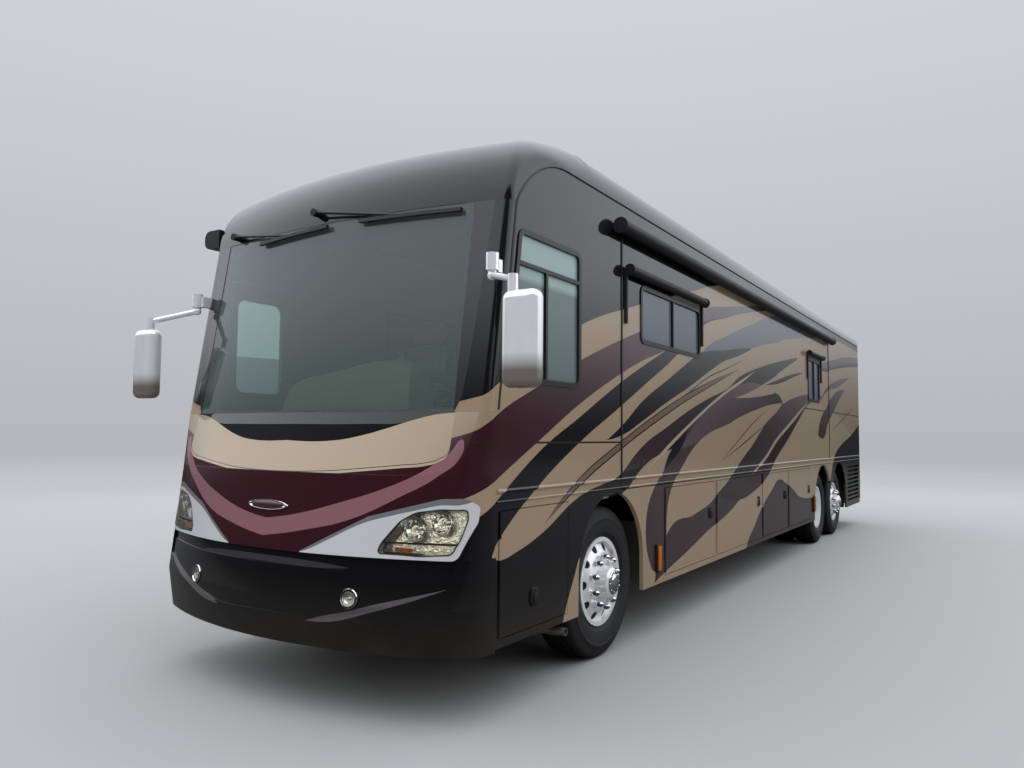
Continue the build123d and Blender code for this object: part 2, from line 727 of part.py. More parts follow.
wiper_solids = []
for row in wiper_rows:
    boss, near, far = ((x, glass_top + rise) for x, rise in row)
    middle = ((near[0] + far[0]) / 2, (near[1] + far[1]) / 2)
    out_y = screen_y(boss[0], glass_top) - 52
    with BuildPart() as blade:
        add(band(screen, -34))
        add(band(screen, -10), mode=Mode.SUBTRACT)
        with BuildSketch(forward_prism()):
            with BuildLine():
                Polyline((near[0], near[1] - 11), (far[0], far[1] - 11), (far[0], far[1] + 11),
                         (near[0], near[1] + 11), close=True)
            make_face()
        extrude(amount=1500, mode=Mode.INTERSECT)
    with BuildPart() as arm:
        rod((boss[0], out_y, boss[1]), (boss[0], out_y + 200, boss[1]), 24)
        add(fan(-0.3, 60), mode=Mode.SUBTRACT)
        rod((boss[0], out_y + 12, boss[1]), (middle[0], screen_y(*middle) - 24, middle[1]), 9)
    wiper_solids.append(blade.part + arm.part)
save(Compound(children=wiper_solids), "wipers")

# Mirrors on arms ahead of the side windows
with BuildPart() as mirror_arm:
    # post on the pillar, cranked arm, collar into the head
    arm_z = glass_top - 425
    post_x, post_y = half - 10, -side_front - 55
    elbow_x, elbow_y = half + 247, -side_front - 248
    head_x, head_y = half + 295, -side_front - 230
    block(post_x - 50, post_x, post_y + 10, post_y + 100, arm_z - 10, arm_z + 60)
    add(band(screen, -0.3), mode=Mode.SUBTRACT)
    rod((post_x, post_y, arm_z - 15), (post_x, post_y, arm_z + 80), 36)
    rod((post_x, post_y, arm_z - 60), (post_x, post_y, arm_z - 10), 24)
    rod((post_x, post_y, arm_z - 42), (elbow_x, elbow_y, arm_z - 122), 19)
    for spot in ((post_x, axle_y + post_y, arm_z - 42), (elbow_x, axle_y + elbow_y, arm_z - 122)):
        with Locations(spot):
            Sphere(27)
    rod((elbow_x, elbow_y, arm_z - 96), (elbow_x, elbow_y, arm_z - 200), 27)
    with BuildPart() as mirror_head:
        with BuildSketch(Plane.XY.offset(arm_z - 668)):
            with Locations((head_x, axle_y + head_y)):
                RectangleRounded(215, 120, 55)
        extrude(amount=490)
        ends = mirror_head.faces().filter_by(Axis.Z)
        fillet(ends.edges(), 45)
save(both_sides(mirror_arm.part), "mirrors")

# Rear cap with engine door, tail lamps
rear_bottom = 450
rear_corner = 300
engine_half, engine_low, engine_high = half - 445, 560, 1720
lamp_slots = ((half - 195, 1500, 110, 460), (half - 195, 930, 110, 300))


def rear_plan(inset):
    wide = half - inset
    end = tail_y - inset
    start = axle_y + side_rear + seam
    radius = rear_corner - inset
    bend = sqrt(0.5)
    with BuildLine() as line:
        Polyline((-wide, end - radius), (-wide, start), (wide, start), (wide, end - radius))
        ThreePointArc((wide, end - radius), (wide - radius + bend * radius, end - radius + bend * radius),
                      (wide - radius, end))
        Line((wide - radius, end), (radius - wide, end))
        ThreePointArc((radius - wide, end), (radius - wide - bend * radius, end - radius + bend * radius),
                      (-wide, end - radius))
    make_face(line.edges())


with BuildPart() as rear_outer:
    with BuildSketch(Plane.XY.offset(rear_bottom)):
        rear_plan(0)
    extrude(amount=roof_height - rear_bottom)
    top = rear_outer.faces().sort_by(Axis.Z)[-1].edges()
    fillet([e for e in top if e.center().Y > axle_y + side_rear + 5], roof_corner)
with BuildPart() as rear_inner:
    with BuildSketch(Plane.XY.offset(rear_bottom - 50)):
        rear_plan(shell_thickness)
    extrude(amount=roof_height - rear_bottom + 50 - shell_thickness)
    top = rear_inner.faces().sort_by(Axis.Z)[-1].edges()
    fillet([e for e in top if e.center().Y > axle_y + side_rear + 5], roof_corner - shell_thickness)
lid_y, lid_z = tail - 9, engine_high + 12  # engine door hinge line
with BuildPart() as rear_cap:
    add(rear_outer.part)
    add(rear_inner.part, mode=Mode.SUBTRACT)
    block(-engine_half - door_gap, engine_half + door_gap, tail - 200, tail + 200, engine_low - door_gap,
          engine_high + door_gap, Mode.SUBTRACT)
    for x, z, wide, high in lamp_slots:
        for side in (-1, 1):
            block(side * x - wide / 2, side * x + wide / 2, tail - 300, tail + 200, z - high / 2, z + high / 2,
                  Mode.SUBTRACT)
    rod((-501, lid_y, lid_z), (501, lid_y, lid_z), hinge_radius + door_gap, Mode.SUBTRACT)
    for side in (-1, 1):
        rod((side * 501, lid_y, lid_z), (side * 600, lid_y, lid_z), hinge_radius)
        rod((side * 420, lid_y, lid_z), (side * 600, lid_y, lid_z), hinge_pin)
save(rear_cap.part, "rear_cap")

lamp_blocks = []
for x, z, wide, high in lamp_slots:
    for side in (-1, 1):
        with BuildPart() as lamp:
            block(side * x - wide / 2 + seam, side * x + wide / 2 - seam, tail - 60, tail - 2, z - high / 2 + seam,
                  z + high / 2 - seam)
            add(rear_outer.part, mode=Mode.INTERSECT)
        lamp_blocks.append(lamp.part)
save(Compound(children=lamp_blocks), "rear_lamps")

with BuildPart() as engine_door:
    block(-engine_half, engine_half, tail - 40, tail, engine_low, engine_high)
    for row in range(8):
        block(220 - engine_half, engine_half - 220, tail - 100, tail + 10, 640 + row * 60, 672 + row * 60, Mode.SUBTRACT)
    rod((-500, lid_y, lid_z), (500, lid_y, lid_z), hinge_radius)
    block(-500, 500, lid_y - 5, lid_y + 5, engine_high - 5, lid_z)
    rod((-510, lid_y, lid_z), (510, lid_y, lid_z), hinge_pin + 0.3, Mode.SUBTRACT)
save(engine_door.part, "engine_door")

# Entry door
entry_window = ((entry_front + entry_rear) / 2, entry_high - 470, 430, 700)
with BuildPart() as entry_door:
    block(half - wall_thickness, half, entry_front, entry_rear, entry_low, entry_high)
    hinge_barrel(entry_front, entry_low, entry_high)
    block(half - 1, half + 14, entry_rear - 110, entry_rear - 50, 1330, 1520)
    with BuildSketch(Plane.YZ.offset(half - 200)):
        window_shape(*entry_window, 0)
    extrude(amount=400, mode=Mode.SUBTRACT)
save(mirror(entry_door.part, about=Plane.YZ), "entry_door")
with BuildPart() as entry_glass:
    with BuildSketch(Plane.YZ.offset(half - 26)):
        window_shape(*entry_window, seam)
    extrude(amount=8)
save(mirror(entry_glass.part, about=Plane.YZ), "entry_door_glass")

# Patio awning case along the right side
with BuildPart() as patio_awning:
    block(half + 0.3, half + 165, -side_front + 110, wheelbase * 0.656, wall_top - 310, wall_top - 175)
    edges = patio_awning.edges().filter_by(Axis.Y).sort_by(Axis.X)[-2:]
    fillet(edges, 55)
save(mirror(patio_awning.part, about=Plane.YZ), "patio_awning")

# Air conditioners on the roof
roof_units = []
for y in (wheelbase * 0.21, wheelbase * 0.74, side_rear - 1760):
    with BuildPart() as unit:
        block(-360, 360, y - 520, y + 520, roof_height + 0.3, roof_height + 290)
        fillet(unit.edges().filter_by(Axis.Z), 120)
        fillet(unit.faces().sort_by(Axis.Z)[-1].edges(), 70)
    roof_units.append(unit.part)
save(Compound(children=roof_units), "roof_air_units")

# Cab: dash and seats
with BuildPart() as dashboard:
    with BuildSketch(Plane.YZ.offset(-half + 685)):
        with BuildLine():
            Polyline((axle_y - 1440, floor_top + 0.3), (axle_y - 1300, floor_top + 0.3), (axle_y - 1220, 1420),
                     (axle_y - 900, 1480), (axle_y - 900, 1600), (axle_y - 1060, 1690), (axle_y - 1440, 1660),
                     close=True)
        make_face()
    extrude(amount=2 * half - 850)
    # shelf under the windshield, ahead of the entry steps
    block(-half + 165, -half + 686, -1440, -1300, floor_top + 0.3, 1660)
save(dashboard.part, "dashboard")

seat_solids = []
for x in (560, -330):
    with BuildPart() as seat:
        block(x - 150, x + 150, -520, -220, floor_top + 0.3, 1500)
        block(x - 270, x + 270, -640, -60, 1500, 1640)
        block(x - 260, x + 260, -140, 10, 1560, 2260)
        block(x - 150, x + 150, -110, 0, 2260, 2430)
    seat_solids.append(seat.part)
save(Compound(children=seat_solids), "cab_seats")

column_y, column_z, column_long = -980, 1645, 150  # foot of the column on the dash, and its length
tilt_y, tilt_z = 0.4903, 0.8716
with BuildPart() as steering_wheel:
    rod((560, column_y + 0.3 * tilt_y, column_z + 0.3 * tilt_z),
        (560, column_y + column_long * tilt_y, column_z + column_long * tilt_z), 32)
    rim_centre = (560, axle_y + column_y + column_long * tilt_y, column_z + column_long * tilt_z)
    with BuildSketch(Plane(origin=rim_centre, x_dir=(1, 0, 0), z_dir=(0, tilt_y, tilt_z))):
        Circle(225)
        Circle(192, mode=Mode.SUBTRACT)
        Rectangle(400, 46)
        Circle(62)
    extrude(amount=28, both=True)
save(steering_wheel.part, "steering_wheel")

# Wheels: tyre section and disc wheel turned about the axle line
hub_bore = 45.3
stud_circle = 167.5
hand_holes = 10


def tyre(x):
    with BuildPart() as solid:
        with BuildSketch(Plane.XZ.offset(0)):
            w = tyre_width / 2
            with BuildLine():
                Polyline((-w + 37, 288), (-w + 37, 306), (-w + 12, 336))
                ThreePointArc((-w + 12, 336), (-w, 400), (-w + 14, 470))
                ThreePointArc((-w + 14, 470), (-w + 26, 500), (-w + 52, tyre_radius - 4))
                ThreePointArc((-w + 52, tyre_radius - 4), (0, tyre_radius), (w - 52, tyre_radius - 4))
                ThreePointArc((w - 52, tyre_radius - 4), (w - 26, 500), (w - 14, 470))
                ThreePointArc((w - 14, 470), (w, 400), (w - 12, 336))
                Polyline((w - 12, 336), (w - 37, 306), (w - 37, 288), (-w + 37, 288))
            make_face()
        revolve(axis=Axis.X)
    return solid.part.moved(Location((x, 0, 0)))


def disc_wheel(x, dish, capped):
    # turned section: rim barrel and flanges, disc set out by dish, hub sleeve and cap
    cap = ((dish + 92, 100), (dish + 104, 84), (dish + 104, 0), (dish + 90, 0), (dish + 90, hub_bore))
    sleeve = ((dish + 60, 112), (dish + 60, hub_bore))
    with BuildPart() as solid:
        with BuildSketch(Plane.XZ):
            w = 125
            with BuildLine():
                Polyline((-w, 272), (-w, rim_radius), (10 - w, rim_radius), (11 - w, 287), (w - 11, 287),
                         (w - 10, rim_radius), (w, rim_radius), (w, 272), close=True)
            make_face()
        revolve(axis=Axis.X)
        with BuildSketch(Plane.XZ):
            with BuildLine():
                Polyline((dish - 12, 130), (dish + 14, 130), (dish + 14, 196), (dish - 30, 276), (dish - 60, 276),
                         close=True)
            make_face()
        revolve(axis=Axis.X)
        with BuildSketch(Plane.XZ):
            with BuildLine():
                Polyline((-95, hub_bore), (-95, 120), (dish - 12, 140), (dish + 14, 140), (dish + 16, 112),
                         *(cap if capped else sleeve), close=True)
            make_face()
        revolve(axis=Axis.X)
        for step in range(hand_holes):
            angle = radians(360 / hand_holes * step)
            y, z = 236 * cos(angle), 236 * sin(angle)
            with Locations(Plane(origin=(dish - 120, y, z), z_dir=(1, 0, 0))):
                Cylinder(29, 240, align=(Align.CENTER, Align.CENTER, Align.MIN), mode=Mode.SUBTRACT)
            nut = radians(360 / hand_holes * (step + 0.5))
            y, z = stud_circle * cos(nut), stud_circle * sin(nut)
            with Locations(Plane(origin=(dish + 10, y, z), z_dir=(1, 0, 0))):
                Cylinder(19, 44, align=(Align.CENTER, Align.CENTER, Align.MIN))
    return solid.part.moved(Location((x, 0, 0)))


# axle, distance behind the front axle, disc set-outs and places of the tyres on one side
wheel_sets = (
    ("front", 0, ((wheel_x, 118),)),
    ("drive", wheelbase, ((wheel_x, -20), (wheel_x - twin_spacing, 20))),
    ("tag", wheelbase + tag_spacing, ((wheel_x, 118),)),
)


for name, y, places in wheel_sets:
    tyres = [tyre(x) for x, dish in places]
    discs = [disc_wheel(x, dish, x == wheel_x) for x, dish in places]
    spot = Location((0, axle_y + y, tyre_radius))
    left_tyre = Compound(children=[t.moved(spot) for t in tyres])
    left_disc = Compound(children=[d.moved(spot) for d in discs])
    for side, word in ((1, "left"), (-1, "right")):
        if side == 1:
            save(left_tyre, name + "_tyre_" + word)
            save(left_disc, name + "_rim_" + word)
        else:
            save(mirror(left_tyre, about=Plane.YZ), name + "_tyre_" + word)
            save(mirror(left_disc, about=Plane.YZ), name + "_rim_" + word)
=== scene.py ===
import bpy
import bmesh
import json
import math
from mathutils import Matrix, Vector

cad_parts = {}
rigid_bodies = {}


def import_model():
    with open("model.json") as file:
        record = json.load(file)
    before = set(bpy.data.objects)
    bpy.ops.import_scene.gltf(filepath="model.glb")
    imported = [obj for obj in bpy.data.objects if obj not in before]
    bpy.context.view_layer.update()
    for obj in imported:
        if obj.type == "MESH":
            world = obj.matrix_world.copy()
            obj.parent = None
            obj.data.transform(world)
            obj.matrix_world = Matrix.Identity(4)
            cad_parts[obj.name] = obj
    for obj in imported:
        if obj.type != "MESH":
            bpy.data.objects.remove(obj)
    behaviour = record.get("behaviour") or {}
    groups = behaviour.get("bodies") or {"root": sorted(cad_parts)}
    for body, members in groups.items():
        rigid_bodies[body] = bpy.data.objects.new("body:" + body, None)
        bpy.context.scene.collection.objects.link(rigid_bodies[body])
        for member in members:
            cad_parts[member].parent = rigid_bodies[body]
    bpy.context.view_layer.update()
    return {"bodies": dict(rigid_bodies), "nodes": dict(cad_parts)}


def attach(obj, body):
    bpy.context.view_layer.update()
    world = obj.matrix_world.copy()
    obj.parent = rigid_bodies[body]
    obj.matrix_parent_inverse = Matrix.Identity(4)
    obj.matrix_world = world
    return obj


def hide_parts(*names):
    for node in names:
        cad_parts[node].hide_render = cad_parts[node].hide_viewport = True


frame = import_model()
nodes = frame["nodes"]
axleY = -4.36  # front axle; lengths along the coach below count from it, to the rear
wallFace = 1.285  # outer face of the side walls
wheelRadius = 0.518  # tyre radius, and height of the axles
sides = ((1, "left"), (-1, "right"))
print("frame loaded,", len(nodes), "nodes")


# Camera at the photograph's viewpoint, floor and soft light
view = {
    "place": (3.614, -9.318, 1.522), "yaw": -32.633, "pitch": 3.758, "roll": 0.604,
    "focalPixels": 778.4, "widthPixels": 1024, "sensorMm": 36.0, "farEnd": 200.0,
}
yaw, pitch, roll = (math.radians(view[k]) for k in ("yaw", "pitch", "roll"))
forward = Vector((math.sin(yaw) * math.cos(pitch), math.cos(yaw) * math.cos(pitch), math.sin(pitch)))
level = Vector((math.cos(yaw), -math.sin(yaw), 0.0))
upright = level.cross(forward)
right = level * math.cos(roll) + upright * math.sin(roll)
up = upright * math.cos(roll) - level * math.sin(roll)
cameraData = bpy.data.cameras.new("camera")
cameraData.sensor_width = view["sensorMm"]
cameraData.lens = view["focalPixels"] / view["widthPixels"] * view["sensorMm"]
cameraData.clip_end = view["farEnd"]
camera = bpy.data.objects.new("camera", cameraData)
bpy.context.collection.objects.link(camera)
turn = Matrix((right, up, -forward)).transposed().to_4x4()
camera.matrix_world = Matrix.Translation(view["place"]) @ turn
bpy.context.scene.camera = camera


def linear(hexColour):
    # sRGB hex to the linear values that Blender wants
    parts = [int(hexColour[i:i + 2], 16) / 255 for i in (1, 3, 5)]
    return [c / 12.92 if c <= 0.04045 else ((c + 0.055) / 1.055) ** 2.4 for c in parts] + [1.0]


def setSockets(tree, node, **sockets):
    # inputs by name, or by place as in0 and in1, each a value or a link
    for key, value in sockets.items():
        if key[:2] == "in" and key[2:].isdigit():
            slot = node.inputs[int(key[2:])]
        else:
            slot = node.inputs[key.replace("_", " ")]
        if isinstance(value, bpy.types.NodeSocket):
            tree.links.new(value, slot)
        else:
            slot.default_value = value


def addNode(tree, kind, settings=None, **sockets):
    # one node with its settings and inputs
    node = tree.nodes.new("ShaderNode" + kind)
    for key, value in (settings or {}).items():
        setattr(node, key, value)
    setSockets(tree, node, **sockets)
    return node


colourMix = {"data_type": "RGBA"}
colourTimes = {"data_type": "RGBA", "blend_type": "MULTIPLY"}


def newMaterial(name):
    material = bpy.data.materials.new(name)
    material.use_nodes = True
    tree = material.node_tree
    tree.nodes.clear()
    shader = addNode(tree, "BsdfPrincipled")
    tree.links.new(shader.outputs[0], addNode(tree, "OutputMaterial").inputs[0])
    place = addNode(tree, "TexCoord").outputs["Object"]
    return material, tree, shader, place


studio = {
    "floor": "#a3a3a2", "floorMirrored": "#2b2a29",  # gloss paint mirrors dull ground, as outdoors
    "floorHalf": 60.0, "fadeFrom": 9.0, "fadeTo": 55.0,  # metres; the floor runs out softly into the wall
    "light": "#e6e9ee", "eyeLevel": 0.05, "ceiling": 1.75, "ceilingRise": 0.24, "overhead": 1.35,
    "frontShade": 0.3, "cornerShade": 0.62, "rearShare": 0.5,  # darker ahead, behind the camera and at the rear
    "wallFoot": 0.55, "wallTop": 0.8,
}
floorMaterial, tree, shader, place = newMaterial("studio floor paint")
mirrored = addNode(tree, "LightPath").outputs["Is Glossy Ray"]
ground = addNode(tree, "Mix", colourMix, in0=mirrored, in6=linear(studio["floor"]),
                 in7=linear(studio["floorMirrored"]))
setSockets(tree, shader, Base_Color=ground.outputs[2], Roughness=0.75)
far = addNode(tree, "VectorMath", {"operation": "LENGTH"}, in0=place).outputs["Value"]
fade = addNode(tree, "MapRange", {"interpolation_type": "SMOOTHSTEP"}, in0=far, in1=studio["fadeFrom"],
               in2=studio["fadeTo"], in3=0.0, in4=1.0).outputs[0]
nothing = addNode(tree, "BsdfTransparent").outputs[0]
sweep = addNode(tree, "MixShader", in0=fade, in1=shader.outputs[0], in2=nothing)
tree.links.new(sweep.outputs[0], tree.nodes["Material Output"].inputs[0])
floorMesh = bmesh.new()
bmesh.ops.create_grid(floorMesh, x_segments=1, y_segments=1, size=studio["floorHalf"])
floorData = bpy.data.meshes.new("floor")
floorMesh.to_mesh(floorData)
floorMesh.free()
floor = bpy.data.objects.new("floor", floorData)
floorData.materials.append(floorMaterial)
bpy.context.collection.objects.link(floor)

world = bpy.data.worlds.new("studio")
bpy.context.scene.world = world
world.use_nodes = True
sky = world.node_tree
sky.nodes.clear()
# bright overhead and dim at eye level, as under a ceiling softbox; the camera sees a plain pale wall
sight = addNode(sky, "TexCoord").outputs["Generated"]
way = addNode(sky, "SeparateXYZ", in0=sight)
rise = way.outputs[2]
frontDim = addNode(sky, "MapRange", in0=way.outputs[1], in1=0.0, in2=-1.0, in3=0.0, in4=studio["frontShade"])
corner = addNode(sky, "VectorMath", {"operation": "DOT_PRODUCT"}, in0=sight, in1=(0.7, -0.7, 0.0)).outputs["Value"]
cornerDim = addNode(sky, "MapRange", in0=corner, in1=0.45, in2=0.95, in3=0.0, in4=studio["cornerShade"])
dim = addNode(sky, "Math", {"operation": "MAXIMUM"}, in0=frontDim.outputs[0], in1=cornerDim.outputs[0])
clear = addNode(sky, "Math", {"operation": "SUBTRACT"}, in0=rise, in1=dim.outputs[0]).outputs[0]
glow = addNode(sky, "MapRange", {"interpolation_type": "SMOOTHSTEP"}, in0=clear, in1=0.0,
               in2=studio["ceilingRise"], in3=studio["eyeLevel"], in4=studio["ceiling"])
top = addNode(sky, "MapRange", in0=rise, in1=0.35, in2=0.95, in3=1.0, in4=studio["overhead"])
beyond = addNode(sky, "VectorMath", {"operation": "DOT_PRODUCT"}, in0=sight, in1=(-0.5, 0.85, 0.0)).outputs["Value"]
fall = addNode(sky, "MapRange", in0=beyond, in1=0.3, in2=0.9, in3=1.0, in4=studio["rearShare"])
lift = addNode(sky, "Math", {"operation": "MULTIPLY"}, in0=top.outputs[0], in1=fall.outputs[0])
glow = addNode(sky, "Math", {"operation": "MULTIPLY"}, in0=glow.outputs[0], in1=lift.outputs[0])
wall = addNode(sky, "MapRange", in0=rise, in1=-0.1, in2=0.5, in3=studio["wallFoot"], in4=studio["wallTop"])
path = addNode(sky, "LightPath")
seen = addNode(sky, "Math", {"operation": "MAXIMUM"}, in0=path.outputs["Is Camera Ray"],
               in1=path.outputs["Is Transmission Ray"])
power = addNode(sky, "Mix", in0=seen.outputs[0], in2=glow.outputs[0], in3=wall.outputs[0])
ceiling = addNode(sky, "Background", Color=linear(studio["light"]), Strength=power.outputs[0])
sky.links.new(ceiling.outputs[0], addNode(sky, "OutputWorld").inputs[0])
lamps = [
    # name, place, aimed at, size, power
    ("overhead", (1.0, -2.0, 11.0), (0.0, 0.0, 0.0), (9.0, 16.0), 60.0),
    ("front", (1.5, -17.0, 5.0), (0.0, -5.5, 1.6), (6.0, 4.0), 135.0),
    ("leftSide", (15.0, -9.0, 5.0), (1.2, -1.0, 1.6), (8.0, 5.0), 135.0),
    ("rightSide", (-14.0, 3.0, 6.0), (-1.2, 0.0, 1.6), (9.0, 5.0), 120.0),
    ("rear", (2.0, 17.0, 6.0), (0.0, 6.0, 1.6), (7.0, 5.0), 90.0),
]
for name, spot, target, size, strength in lamps:
    lightData = bpy.data.lights.new(name, "AREA")
    lightData.shape = "RECTANGLE"
    lightData.size, lightData.size_y = size
    lightData.energy = strength
    light = bpy.data.objects.new(name, lightData)
    aim = (Vector(target) - Vector(spot)).to_track_quat("-Z", "Y").to_matrix().to_4x4()
    light.matrix_world = Matrix.Translation(spot) @ aim
    light.visible_glossy = False  # the paint mirrors the plain room, not the lamps
    bpy.context.collection.objects.link(light)
bpy.context.scene.view_settings.view_transform = "Standard"
bpy.context.scene.view_settings.look = "None"
print("camera, floor and lamps")


# Coach paint: two-layer metallic colours under clear coat, swept bands drawn between two edges each
colours = {
    "black": "#0b0b0d",
    "tan": "#9b876f",
    "mauve": "#5a4c50",
    "charcoal": "#34292a",
    "burgundy": "#33101a",
    "wine": "#23100f",
    "slate": "#5d646c",
    "pale": "#a8977f",
    "line": "#2a2422",
    "umber": "#6b5a4c",
    # the hood's tan, painted lighter than the side's as painted light on its upward face
    "litHoodTan": "#a8937a",
    "silver": "#c4c4c5",
    # painted shade on the upper part of the lamp surround
    "bezelShade": "#6f7072",
    # painted highlight on the bumper's swept crease
    "creaseHighlight": "#5c575b",
    # painted highlight along the bumper's upper groove
    "groove": "#3b383c",
    # dark glass edge beside the windshield, painted lighter as a reflection
    "glassEdgeAndSheen": "#2c2c2f",
    "rose": "#875e67",
    "mask": "#ffffff",  # not a paint: where the clear coat is left off
}


def thinBand(colour, half, points):
    # narrow band along a middle line, pointed at both ends
    inner = points[1:-1]
    upper = points[:1] + [(a, z + half) for a, z in inner] + points[-1:]
    lower = points[:1] + [(a, z - half) for a, z in inner] + points[-1:]
    return colour, colour, upper, lower


def raised(points, lift):
    return [(a, z + lift) for a, z in points]


# Each band: colour at its front end, colour at its rear end, top edge, bottom edge
# An edge is a list of points: metres behind the front axle, height
upperEdge = [(-1.9, 1.28), (-1.64, 1.49), (-1.5, 1.61), (-1.06, 1.80), (-0.47, 2.02), (0.41, 2.295), (2.03, 2.72),
             (2.6, 2.81), (3.0, 2.87), (3.5, 2.95), (4.3, 3.06)]
sweepFoot = [(0.14, 1.26), (0.51, 1.45), (1.0, 1.60), (1.51, 1.75), (2.0, 1.87), (2.6, 2.0), (3.0, 2.14), (3.5, 2.25)]
umberFoot = [(-0.95, 1.0), (-0.52, 1.2), (0.13, 1.435), (1.0, 1.705), (1.535, 1.854), (2.02, 1.976), (3.0, 2.22)]
crescentFoot = [(0.9, 0.62), (0.97, 0.75), (1.0, 0.95), (1.13, 1.14), (1.32, 1.26), (1.64, 1.435), (2.0, 1.55),
                (2.6, 1.65)]
